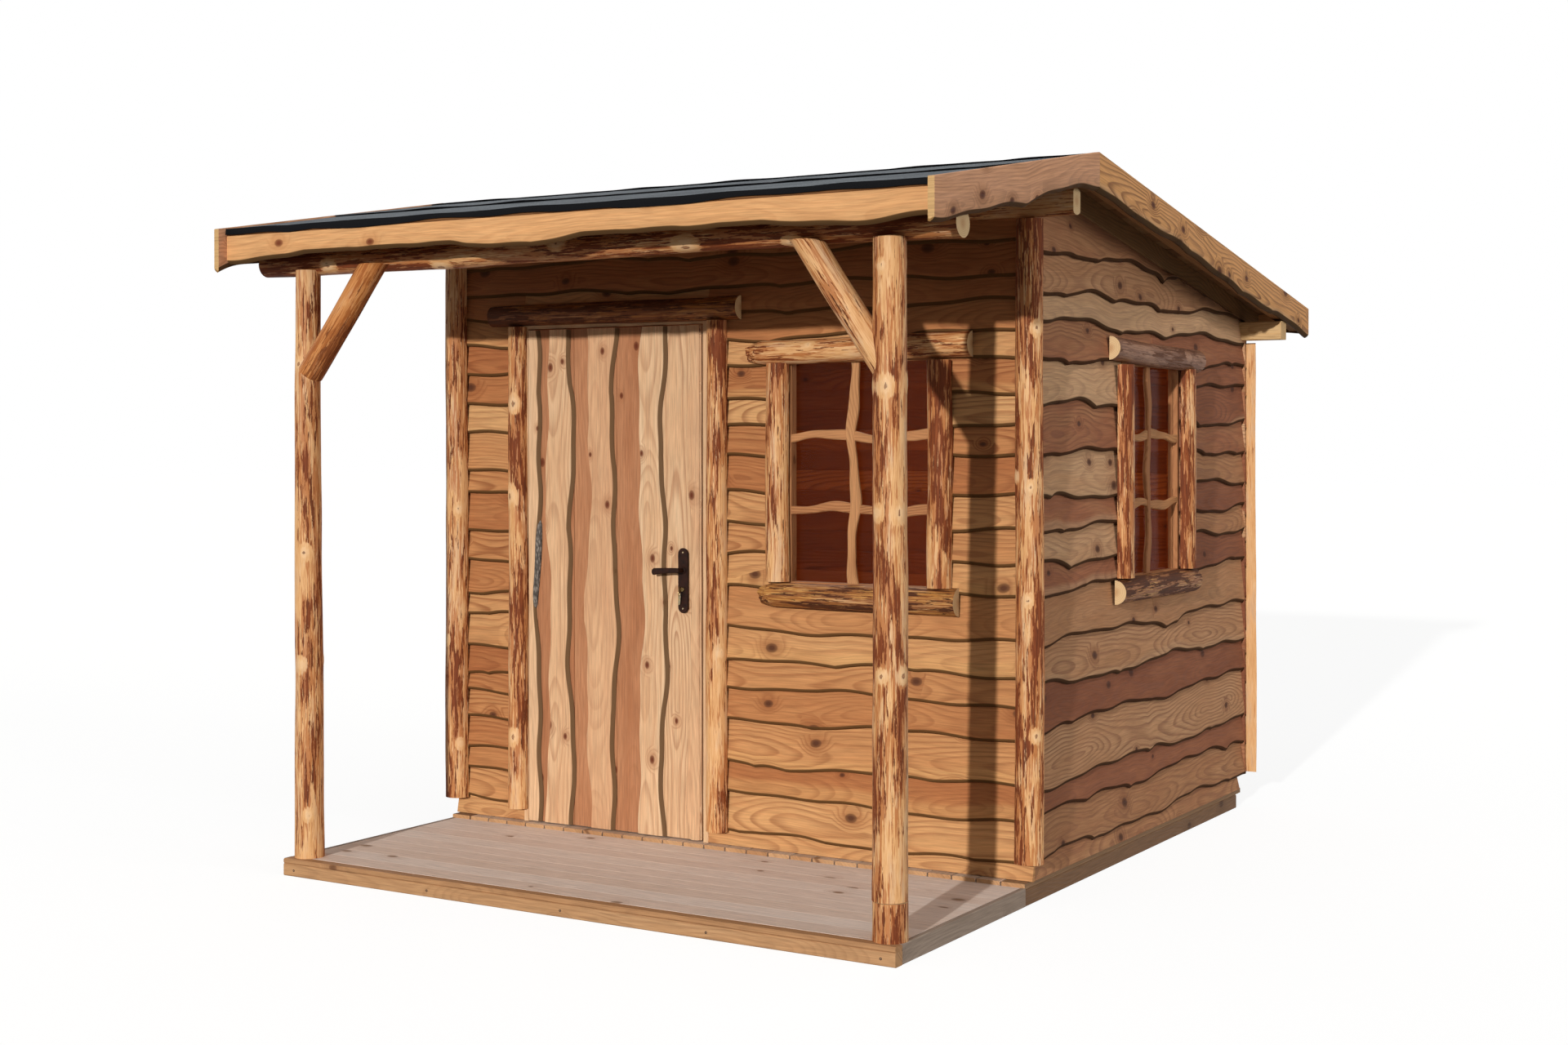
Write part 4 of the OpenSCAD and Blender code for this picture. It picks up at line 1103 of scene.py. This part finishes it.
# Roof frame. Rafters lie on the purlins on both slopes, and sawn boards run across them, nailed side
# by side as the ceiling of the veranda and the base for the felt.
rafter_wide = 45 * mm
rafter_tall = 78 * mm
roof_board_thick = 20 * mm
roof_board_wide = 118 * mm
roof_joint = 2 * mm
felt_thick = 4 * mm
felt_deep = 6 * mm
boards_deep = felt_deep + felt_thick
rafters_deep = boards_deep + roof_board_thick
ridge_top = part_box("left_verge_boards")[1].z
roof_low, roof_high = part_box("front_roof_boards")
rear_roof_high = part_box("rear_roof_boards")[1]
front_rafter_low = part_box("front_rafters")[0]
rear_rafter_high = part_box("rear_rafters")[1]


def roof_height(y, deep):
    """Height of a layer of the roof that lies deep below the verge boards' top, square to the slope."""
    return ridge_top - deep / math.cos(roof_pitch) - np.abs(y - ridge_y) * math.tan(roof_pitch)


def down_slope(s, a, b):
    """Length down the slope along Y, then X and depth below the verge boards' top."""
    return xyz(a, s, roof_height(s, b))


def across_slope(s, a, b):
    """Length across the slope along X, then Y and depth below the verge boards' top."""
    return xyz(s, a, roof_height(a, b))


# Roof larch: sawn and left rough and always in shade, with painted shade in its dark brown.
shaded_roof_larch = sawn_larch(
    "shaded_roof_larch", ["#7C5230", "#8A5E38", "#966A42", "#A2784E"], late="#62401F", sap="#A88256", bark="#5A3E24",
    knot="#5A341C", rough=(0.82, 0.74))
rafter_places = (
    -roof_high.x + rafter_wide / 2, -side_face + wall_deep / 2, -side_face / 2, 0.0, side_face / 2,
    side_face - wall_deep / 2, roof_high.x - rafter_wide / 2)
for name, node, y0, y1 in (
        ("front_rafter_row", "front_rafters", front_rafter_low.y, ridge_y),
        ("rear_rafter_row", "rear_rafters", ridge_y, rear_rafter_high.y)):
    rafters = Pile()
    for x in rafter_places:
        plank(
            rafters, down_slope, y0, y1, x - rafter_wide / 2, x + rafter_wide / 2, rafters_deep,
            rafters_deep + rafter_tall)
    rafters.piece(name, [shaded_roof_larch], "cabin", "roof_timber", node)
for name, node, y0, y1 in (
        ("front_sarking", "front_roof_boards", roof_low.y, ridge_y),
        ("rear_sarking", "rear_roof_boards", ridge_y, rear_roof_high.y)):
    sarking = Pile()
    count = round((y1 - y0) / roof_board_wide)
    for i in range(count):
        a, b = y0 + i * (y1 - y0) / count, y0 + (i + 1) * (y1 - y0) / count
        plank(
            sarking, across_slope, roof_low.x, roof_high.x, a + roof_joint / 2, b - roof_joint / 2,
            boards_deep, rafters_deep)
    sarking.piece(name, [shaded_roof_larch], "cabin", "roof_timber", node)


# Felt. Strips of mineral-faced bitumen felt lie along the ridge, each lapped over the one below, with
# a soft wavy edge where the black bitumen shows. The lowest strip hangs a little over the fascia.
felt_low, felt_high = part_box("front_felt")
rear_felt_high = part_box("rear_felt")[1]
felt_shows = 560 * mm
felt_lap = 70 * mm
felt_lip = 19 * mm
felt_lift = 5 * mm
felt_crease = 60


def bitumen_felt():
    """Roofing felt faced with slate grit: blue-grey with a fine sparkle of lighter and darker grains,
    cloudy where rain has dried, and tar black along its cut edges."""
    material, add = new_material("bitumen_felt")
    place = add("TexCoord").outputs["Object"]
    # Grit of 1 to 2 mm, drawn as 4 mm grains so that it shows.
    grit = add("TexVoronoi", place, 1 / (4 * mm), feature="F1")
    cloud = add("TexNoise", place, 3.0, 4.0, 0.6)
    tint = add(
        "MULTIPLY_ADD", add("SeparateColor", grit.outputs["Color"]).outputs[0], 0.4,
        add("MULTIPLY", cloud, 0.6))
    grey = add("ValToRGB", tint, stops=[(0.2, "#3C4146"), (0.8, "#80868A"), (0.5, "#5A6065")])
    edge = add("Attribute", attribute_name="edge").outputs["Fac"]
    tar = add("MapRange", add("MULTIPLY_ADD", cloud, 4 * mm, edge), 12 * mm, 20 * mm, 1.0, 0.0)
    colour = add("Mix", tar, grey, linear("#121214"))
    normal = add("Bump", 0.5, 1.0 * mm, named={"Height": grit.outputs["Distance"]})
    dull = add("MapRange", tar, 0.0, 1.0, 0.86, 0.6)
    shine = add("MapRange", tar, 0.0, 1.0, 0.3, 0.04)
    shader = add(
        "BsdfPrincipled",
        named={"Base Color": colour, "Normal": normal, "Roughness": dull, "Specular IOR Level": shine})
    add("OutputMaterial", shader)
    return material


def felt_strip(pile, low, high, lift, number, eave):
    """One strip from its wavy lower edge up to a line nearer the ridge."""
    uphill = 1 if high > low else -1
    x = np.linspace(felt_low.x, felt_high.x, 150)
    wave = live_edge(x, number, 3 * mm, 5 * mm)
    curl = np.abs(live_edge(x + 3, number, 2.5 * mm, 3 * mm))
    edge_y = low - uphill * (wave if not eave else wave * 0.15)
    lip = felt_lip + wave if eave else 0.0 * wave
    ys = [
        edge_y + uphill * 4 * mm, edge_y + uphill * mm, edge_y, edge_y + uphill * 3 * mm,
        edge_y + uphill * 0.03, low + (high - low) * 0.4 + 0 * x, low + (high - low) * 0.7 + 0 * x,
        high + 0 * x, high + 0 * x]
    face, under = felt_deep - lift, felt_deep + felt_thick * 0.8
    tops = [
        under - lift, under - lift + lip - curl, felt_deep + felt_thick * 0.3 - lift + lip - curl,
        face - curl * 0.7, face - curl * 0.2, felt_deep - lift * 0.6, felt_deep - lift * 0.3, felt_deep,
        under]
    a = np.stack(ys, axis=1)
    b = np.stack([top + 0 * x for top in tops], axis=1)
    edge = np.array([-0.01, -0.01, -0.005, 0.003, 0.03, 0.2, 0.2, 0.2, 0.2])[None]
    rings = across_slope(x[:, None], a, b)
    pile.sweep(rings, {"grain": rings, "tone": number, "edge": edge})


felt = bitumen_felt()
for name, node, eave in (
        ("front_felt_strips", "front_felt", felt_low.y), ("rear_felt_strips", "rear_felt", rear_felt_high.y)):
    strips = Pile()
    way = 1 if eave < ridge_y else -1
    count = math.ceil(abs(ridge_y - eave) / felt_shows)
    for i in range(count):
        low = eave + way * i * felt_shows
        lapped = low + way * (felt_shows + felt_lap)
        high = min(lapped, ridge_y) if way > 0 else max(lapped, ridge_y)
        felt_strip(strips, low, high, felt_lift if i else 0.0, 0.17 + 0.13 * i + 0.05 * way, i == 0)
    strips.piece(name, [felt], "cabin", "felt", node, crease=felt_crease)


# Roof edges. A board with a live lower edge closes each verge in two lengths, met by a plumb joint at
# the ridge, and another runs between them under the felt as the fascia.
verge_tall = 123 * mm
verge_flare = 30 * mm
verge_thick = 22 * mm
fascia_tall = 84 * mm
edge_bevel = 15 * mm
verge_step = 0.018
front_fascia_low, front_fascia_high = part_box("front_fascia")
rear_fascia_low, rear_fascia_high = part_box("rear_fascia")
verge_low, verge_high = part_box("right_verge_boards")

# Edge larch: the sunniest boards of all, a clear honey orange with red-brown knots.
edge_larch = sawn_larch(
    "edge_larch", ["#CA8C58", "#D29862", "#D9A36E", "#DEAC78"], late="#B27444", sap="#DEB080", bark="#4E3821",
    knot="#6A2E16", ring=15 * mm, figure=0.4, knot_share=0.4, knot_size=(0.05, 0.12), sap_reach=30 * mm)
# Verge larch: the same boards with bold rings and big knots, pinkish in front and golden behind.
verge_larch = sawn_larch(
    "verge_larch", ["#D09C7A", "#D29B74", "#D69C66", "#D9A066"], late="#7A4A26", sap="#DCB084",
    bark="#43301E", knot="#4A2010", ring=11 * mm, figure=0.85, knot_share=0.62, knot_size=(0.08, 0.17),
    sap_reach=30 * mm)


def edge_board(pile, place, s, low, top, number, tone):
    """A board with a live lower edge, bevelled back where the log's round side was."""
    low, top = low[:, None], top[:, None]
    e = edge_bevel
    deep = np.array([
        verge_thick, verge_thick, 0.72 * verge_thick, 0.25 * verge_thick, 0.0, 0.0, 0.0, 2 * mm,
        verge_thick])[None]
    rise = np.array([0.9 * e, 0.15 * e, 0.0, 0.45 * e, e])
    share = np.array([0.5])
    height = np.concatenate([low + rise, low + e + (top - low - e) * share, top - 2 * mm, top, top], axis=1)
    edge = np.concatenate([
        np.broadcast_to([-0.01, -0.01, -0.01, -0.01, 0.0], (len(s), 5)), (top - low - e) * share,
        top - low - e, top - low, np.full_like(top, 0.2)], axis=1)
    grain = xyz(s[:, None] + 9 * number, height - (low + top) / 2, number)
    pile.sweep(place(s[:, None], deep, height), {"grain": grain, "tone": tone, "edge": edge}, 0, 1)


for name, node, sign, start in (
        ("left_verge", "left_verge_boards", -1, 0.21), ("right_verge", "right_verge_boards", 1, 0.63)):
    verge = Pile()
    for i, (y0, y1) in enumerate(((verge_low.y, ridge_y), (ridge_y, verge_high.y))):
        s = np.linspace(y0 + 0.3 * mm, y1 - 0.3 * mm, int((y1 - y0) / verge_step))
        top = roof_height(s, 0.0)
        stray = live_edge(s, start + 0.17 * i, (9 - 4 * i) * mm, (14 - 4 * i) * mm)
        if sign < 0:
            stray -= verge_flare * np.exp(-(s - verge_low.y) / 0.12)
        edge_board(
            verge, lambda s, d, z: xyz(sign * (verge_high.x - d), s, z), s,
            top - verge_tall / math.cos(roof_pitch) + stray, top, start + 0.01 + 0.2 * i, 0.2 + 0.6 * i)
    verge.piece(name, [verge_larch, new_larch], "cabin", "edge_boards", node)

for name, node, low, high, way in (
        ("front_fascia_board", "front_fascia", front_fascia_low, front_fascia_high, 1),
        ("rear_fascia_board", "rear_fascia", rear_fascia_low, rear_fascia_high, -1)):
    fascia = Pile()
    x = np.linspace(low.x, high.x, 160)
    face = low.y if way > 0 else high.y
    stray = np.minimum(live_edge(x, 0.41 + 0.2 * way, 8 * mm, 9 * mm), 5 * mm)
    edge_board(
        fascia, lambda s, d, z: xyz(s, face + way * d, z), x, high.z - fascia_tall + stray,
        np.full_like(x, high.z), 0.41 + 0.2 * way, 0.6)
    fascia.piece(name, [edge_larch, new_larch], "cabin", "edge_boards", node)


# Door leaf. A first layer of upright boards has a second one laid over its joints. The upper boards keep
# both live edges, and one still has a strip of grey bark. Three ledges hold the boards from behind.
leaf_low, leaf_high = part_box("door_boards")
proud = 10 * mm
door_bevels = (4 * mm, 18 * mm)
ledge_low, ledge_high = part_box("door_ledges")
ledge_tall = 100 * mm
ledge_shares = (0.1, 0.5, 0.9)
lower_joints = (0.05, 0.27, 0.52, 0.74)
upper_boards = ((0.0, 0.069), (0.12, 0.264), (0.357, 0.523), (0.665, 0.805), (0.941, 0.992))
leaf_wide = leaf_high.x - leaf_low.x
leaf_joint = 1 * mm
leaf_edge = (9 * mm, 6 * mm)
lower_tones = (0.35, 0.1, 0.2, 0.12, 0.8)
upper_tones = (0.85, 0.75, 0.6, 0.8, 0.7)


def live_board(pile, x0, x1, number, tone):
    """An upright board with two live edges, laid over the joint of the boards behind."""
    z = np.linspace(leaf_low.z, leaf_high.z, 110)
    bark_left, bark_right = x0 > leaf_low.x, x1 < leaf_high.x - proud
    left = x0 + (live_edge(z - 1.2, number, *leaf_edge) if bark_left else 0 * z)
    right = x1 + (live_edge(z - 1.2, number + 0.07, *leaf_edge) if bark_right else 0 * z)
    wide = right - left
    e, f = [np.minimum(bevel, wide / 3) for bevel in door_bevels]
    a = np.stack([
        left + 0.2 * e, left, left + 0.4 * e, left + e, left + 0.5 * wide, right - f, right - 0.4 * f, right,
        right - 0.2 * f], axis=1)
    deep = np.array([1.0, 0.75, 0.3, 0.0, 0.0, 0.0, 0.3, 0.75, 1.0])[None] * proud
    outer, inner = [[depth if bark else 0.2 for bark in (bark_left, bark_right)] for depth in (-0.01, 0.0)]
    rim = np.stack(
        np.broadcast_arrays(*[outer[0]] * 3, inner[0], 0.5 * wide - e, inner[1], *[outer[1]] * 3), axis=1)
    grain = xyz(z[:, None] + 9 * number, a - (x0 + x1) / 2, number)
    rings = xyz(a, leaf_low.y - proud + deep, z[:, None])
    pile.sweep(rings, {"grain": grain, "tone": tone, "edge": rim})
    return z, right


# Door pine: planed boards from pink-brown to cream, with dark red knots.
door_pine = sawn_larch(
    "door_pine", ["#A46A46", "#B8805A", "#C89770", "#D4A980", "#DDB992"], late="#9A623E", sap="#E0BF98",
    bark="#60452C", knot="#5E2610", ring=13 * mm, figure=0.55, knot_share=0.36, knot_size=(0.05, 0.11),
    sap_reach=30 * mm, rough=(0.66, 0.54))
leaf = Pile()
joints = [0.0] + list(lower_joints) + [1.0]
for i, (a, b) in enumerate(zip(joints, joints[1:])):
    plank(
        leaf, along_z, leaf_low.z, leaf_high.z, leaf_low.x + a * leaf_wide + leaf_joint / 2,
        leaf_low.x + b * leaf_wide - leaf_joint / 2, leaf_low.y, leaf_high.y, tone=lower_tones[i])
for i, (a, b) in enumerate(upper_boards):
    z, right = live_board(
        leaf, leaf_low.x + a * leaf_wide, leaf_low.x + b * leaf_wide, 0.13 + 0.19 * i, upper_tones[i])
    if i == 0:
        bark_edge = z, right
leaf.piece("door_planks", [door_pine], "door", "door_timber", "door_boards")

ledges = Pile()
for share in ledge_shares:
    z = leaf_low.z + share * (leaf_high.z - leaf_low.z)
    plank(
        ledges, along_x, ledge_low.x, ledge_high.x, ledge_low.y, ledge_high.y, z - ledge_tall / 2,
        z + ledge_tall / 2, arris=4 * mm)
ledges.piece("door_battens", [door_pine], "door", "door_timber", "door_ledges")

bark_low, bark_high = 905 * mm, 1262 * mm
bark_wide = 13 * mm


def larch_bark():
    """A strip of outer bark: grey, flaky and rough, with dark cracks along it."""
    material, add = new_material("larch_bark")
    place = add("VectorMath", add("TexCoord").outputs["Object"], (1.0, 1.0, 0.35), operation="MULTIPLY")
    flakes = add("TexVoronoi", place, 160.0)
    rough = add("TexNoise", place, 260.0, 4.0, 0.65)
    tint = add("MULTIPLY", flakes.outputs["Distance"], rough)
    colour = add("ValToRGB", tint, stops=[(0.08, "#8C8277"), (0.5, "#2E2823"), (0.25, "#5C544C")])
    normal = add("Bump", 0.9, 3 * mm, named={"Height": tint})
    dull = add("MapRange", rough, 0.3, 0.7, 0.8, 0.95)
    shader = add("BsdfPrincipled", named={"Base Color": colour, "Normal": normal, "Roughness": dull})
    add("OutputMaterial", shader)
    return material


bark = Pile()
z, right = bark_edge
keep = (z > bark_low) & (z < bark_high)
z, right = z[keep], right[keep]
end = np.sin(np.linspace(0, math.pi, len(z))) ** 0.35
lump = live_edge(z, 0.77, 4 * mm, 5 * mm)
half = np.maximum(bark_wide * end + lump * end, mm)
angle = np.linspace(0, math.pi, 9)[None]
a = (right - 4 * mm)[:, None] + half[:, None] * np.cos(angle)
b = leaf_low.y - proud * 0.3 - (proud + 3 * mm) * end[:, None] * np.sin(angle)
rings = xyz(a, b, z[:, None])
bark.sweep(rings)
bark.piece("door_bark_strip", [larch_bark()], "door", "door_timber")


# Door ironmongery. A long plate with round ends is screwed to each face of the leaf, with a plain lever
# and a lock cylinder; a key stands in the lock and its twin hangs from the same ring. Strap hinges hold
# the leaf inside. Lock and keys are bright; the rest is steel in a dark brown coating.
plate_low, plate_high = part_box("door_lock_plates")
lever_low, lever_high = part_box("door_lever")
plate_wide = 44 * mm
plate_thick = 3 * mm
plate_rim = 1.2 * mm
lock_drop = 72 * mm
lever_bow = 3 * mm
lever_dip = 8 * mm
lock_proud = 7 * mm
screw_share = 0.43
lever_section = (13 * mm, 8 * mm)
hub_wide = 20 * mm
cylinder_wide = 17 * mm
key_bow = 12 * mm
key_thick = 2.2 * mm
key_drop = 36 * mm
key_tilt = -0.08
spindle_x = -158 * mm
spindle_z = 1084 * mm


def coated_steel():
    """Steel with a dark brown baked coating: satin, a little orange-peel, paler where hands rub it."""
    material, add = new_material("coated_steel")
    place = add("TexCoord").outputs["Object"]
    cloud = add("TexNoise", place, 60.0, 4.0, 0.6)
    peel = add("TexNoise", place, 900.0, 2.0, 0.5)
    colour = add("ValToRGB", cloud, stops=[(0.3, "#180B07"), (0.75, "#33190F")])
    normal = add("Bump", 0.15, 0.3 * mm, named={"Height": peel})
    dull = add("MapRange", cloud, 0.3, 0.7, 0.42, 0.56)
    shader = add(
        "BsdfPrincipled",
        named={"Base Color": colour, "Normal": normal, "Specular IOR Level": 0.12, "Roughness": dull})
    add("OutputMaterial", shader)
    return material


def nickel_brass():
    """Nickel-plated brass: bright, a touch yellow where the plating has worn."""
    material, add = new_material("nickel_brass")
    worn = add("TexNoise", add("TexCoord").outputs["Object"], 220.0, 3.0, 0.6)
    colour = add("ValToRGB", worn, stops=[(0.35, "#8F887A"), (0.7, "#A5884A")])
    dull = add("MapRange", worn, 0.3, 0.7, 0.22, 0.4)
    shader = add("BsdfPrincipled", named={"Base Color": colour, "Metallic": 1.0, "Roughness": dull})
    add("OutputMaterial", shader)
    return material


def stadium(wide, tall, inset=0.0, turns=12):
    """Outline of a plate with round ends, as (x, z) about its middle."""
    r = wide / 2 - inset
    straight = tall / 2 - wide / 2
    top = [(r * math.cos(t), straight + r * math.sin(t)) for t in np.linspace(0, math.pi, turns)]
    return np.array(top + [(-x, -z) for x, z in top])


dark_steel = coated_steel()
bright_key = nickel_brass()
plates = Pile()
plate_tall = plate_high.z - plate_low.z
plate_mid = (plate_low.z + plate_high.z) / 2
for face, way in ((plate_low.y, 1), (plate_high.y, -1)):
    layers = [
        (face + way * plate_thick, 0.0), (face + way * plate_rim, 0.0),
        (face + way * 0.4 * plate_rim, 0.35 * plate_rim), (face, plate_rim)]
    rings = np.stack([
        xyz(spindle_x + o[:, 0], y, plate_mid + o[:, 1]) for y, inset in layers
        for o in [stadium(plate_wide, plate_tall, inset)]])
    plates.sweep(rings)
    turned(
        plates, (spindle_x, face, spindle_z), (0, -way, 0),
        [(-mm, 0.7 * hub_wide), (1.5 * mm, 0.7 * hub_wide), (3 * mm, 0.62 * hub_wide)])
plates.piece("door_plates", [dark_steel], "door", "dark_ironmongery", "door_lock_plates")

lever = Pile()
lever_length = spindle_x - lever_low.x
for face, way in ((plate_low.y, -1), (plate_high.y, 1)):
    out = lever_low.y if way < 0 else lever_high.y
    bar_y = out - way * lever_section[1]
    turned(
        lever, (spindle_x, face, spindle_z), (0, way, 0),
        [
            (3.2 * mm, 0.5 * hub_wide), (4 * mm, 0.5 * hub_wide), (5 * mm, 0.42 * hub_wide),
            (abs(bar_y - face), 0.42 * hub_wide),
            (abs(bar_y - face) + 0.8 * lever_section[1], 0.34 * hub_wide)])
    t = np.linspace(-0.07, 1.0, 40)[:, None]
    angle = np.linspace(0, 2 * math.pi, 20, endpoint=False)
    end = np.clip((1.0 - t) / 0.06, 0.05, 1) ** 0.5 * np.clip((t + 0.07) / 0.05, 0.05, 1) ** 0.5
    tall = (0.72 + 0.3 * t ** 2) * lever_section[0] * end
    deep = (1.0 - 0.25 * t) * lever_section[1] * 0.8 * end
    squared = lambda wave: np.sign(wave) * np.abs(wave) ** 0.6
    x = spindle_x - t * lever_length
    y = bar_y - way * lever_bow * np.sin(math.pi * t)
    z = spindle_z - lever_dip * t ** 2
    rings = xyz(x, y + deep * squared(np.cos(angle)), z + tall * squared(np.sin(angle)))
    lever.sweep(rings)
lever.piece("door_handles", [dark_steel], "lever", "dark_ironmongery", "door_lever")

lock = Pile()
lock_z = spindle_z - lock_drop
for face, way in ((plate_low.y, -1), (plate_high.y, 1)):
    turned(
        lock, (spindle_x, face, lock_z), (0, way, 0),
        [
            (-mm, 0.5 * cylinder_wide), (6 * mm, 0.5 * cylinder_wide), (7.5 * mm, 0.44 * cylinder_wide),
            (7.6 * mm, 0.3 * cylinder_wide), (7 * mm, 0.25 * cylinder_wide)])
    for z in (plate_mid + screw_share * plate_tall, plate_mid - screw_share * plate_tall):
        turned(
            lock, (spindle_x, face, z), (0, way, 0),
            [(-mm, 3.6 * mm), (0.8 * mm, 3.4 * mm), (1.5 * mm, 2.2 * mm), (0.9 * mm, 1.0 * mm)])
key_face = plate_low.y - lock_proud

# One key stands edge-on in the lock, and its twin hangs flat below it from the ring.
bow = stadium(2 * key_bow, 2.4 * key_bow)
layers = [(-key_thick / 2, 0.9), (-key_thick / 3, 1.0), (key_thick / 3, 1.0), (key_thick / 2, 0.9)]
lock.sweep(
    np.stack([
        xyz(spindle_x + x, key_face - key_bow + k * bow[:, 0] * 0.9, lock_z + k * bow[:, 1] * 0.85)
        for x, k in layers]))
cosine, sine = math.cos(key_tilt), math.sin(key_tilt)
bow = stadium(0.8 * key_bow, 3.6 * key_bow) @ np.array([[cosine, -sine], [sine, cosine]]).T
layers = [(2 * mm, 0.8), (2.4 * mm, 1.0), (2 * mm + key_thick, 1.0), (2.4 * mm + key_thick, 0.8)]
lock.sweep(
    np.stack([
        xyz(spindle_x - 9 * mm + k * bow[:, 0], key_face - d, lock_z - key_drop + k * bow[:, 1])
        for d, k in layers]))
ring_angle = np.linspace(0, 2 * math.pi, 28, endpoint=False)
wire = np.linspace(0, 2 * math.pi, 8, endpoint=False)
ring_r, wire_r = 10 * mm, 0.9 * mm
centre = xyz(
    spindle_x - 4 * mm, key_face - 13 * mm + ring_r * np.cos(ring_angle) * 0.5,
    lock_z - 14 * mm + ring_r * np.sin(ring_angle))
outs = xyz(0.0, np.cos(ring_angle), np.sin(ring_angle))
rings = centre[:, None] + wire_r * (
    np.cos(wire)[None, :, None] * outs[:, None] + np.sin(wire)[None, :, None] * np.array([1.0, 0, 0]))
lock.sweep(np.concatenate([rings, rings[:1]]))
lock.piece("door_lock_and_keys", [bright_key], "door", "dark_ironmongery")

for node in ("door_hinge_plates", "door_hinge_straps"):
    thing = bpy.data.objects[node]
    thing.data.materials.clear()
    thing.data.materials.append(dark_steel)


# Studio. A pale floor and soft, even light, with a low sun in front as it stands on the real hut, and
# a camera where the photograph was taken.
camera_place = (4.121, -7.005, 1.584)
camera_turn = (89.582, 0.046, 31.29)
camera_lens = 46.964
camera_shift = -0.0457
sun_height, sun_turn = 13, 8
floor_glow = 0.845
sky_light = 0.33

camera = bpy.data.objects.new("camera", bpy.data.cameras.new("camera"))
bpy.context.scene.collection.objects.link(camera)
camera.location = camera_place
camera.rotation_euler = [math.radians(turn) for turn in camera_turn]
camera.data.sensor_width = 36
camera.data.lens = camera_lens
camera.data.shift_y = camera_shift
camera.data.clip_end = 200
bpy.context.scene.camera = camera


def lamp(name, kind, strength, turn=(0, 0, 0), place=(0, 0, 0), **spread):
    """Add a lamp; its spread is the angle of a sun or the size of a panel."""
    light = bpy.data.lights.new(name, kind)
    light.energy = strength
    for key, value in spread.items():
        setattr(light, key, value)
    thing = bpy.data.objects.new(name, light)
    bpy.context.scene.collection.objects.link(thing)
    thing.rotation_euler = [math.radians(angle) for angle in turn]
    thing.location = place


lamp("key", "SUN", 2.85, turn=(90 - sun_height, 0, sun_turn), angle=math.radians(1.2))
# A broad weak lamp on the right stands in for the open sky on that side.
lamp("fill", "SUN", 0.9, turn=(0, 80, 0), angle=math.radians(30))
# A weak lamp indoors stands in for the light that other openings let in, so that the lining shows.
lamp("room", "AREA", 13, place=(0, 0.2, 2.1), size=1.2)

floor_mesh = bpy.data.meshes.new("studio_floor")
reach = 60.0
floor_mesh.from_pydata(
    [(-reach, -reach, 0), (reach, -reach, 0), (reach, reach, 0), (-reach, reach, 0)], [], [(0, 1, 2, 3)])
studio_floor = bpy.data.objects.new("studio_floor", floor_mesh)
bpy.context.scene.collection.objects.link(studio_floor)


def looked_at(add):
    """1 where the camera, a mirror or glass looks straight at a surface, and 0 where it only lights."""
    path = add("LightPath").outputs
    return add(
        "MAXIMUM", add("MAXIMUM", path["Is Camera Ray"], path["Is Glossy Ray"]), path["Is Transmission Ray"])


paper, add = new_material("white_paper")
seen = looked_at(add)
glow = add("Emission", linear("#FFFFFF"), add("MULTIPLY", seen, floor_glow))
matt = add("BsdfDiffuse", linear("#8E8E8C"))
add("OutputMaterial", add("AddShader", matt, glow))
floor_mesh.materials.append(paper)

world = bpy.data.worlds.new("studio")
bpy.context.scene.world = world
add = own_nodes(world)
seen = looked_at(add)
level = add("MapRange", seen, 0.0, 1.0, sky_light, 1.0)
sky = add("Background", linear("#FFFFFF"), level)
add("OutputWorld", sky)
bpy.context.scene.view_settings.view_transform = "Standard"
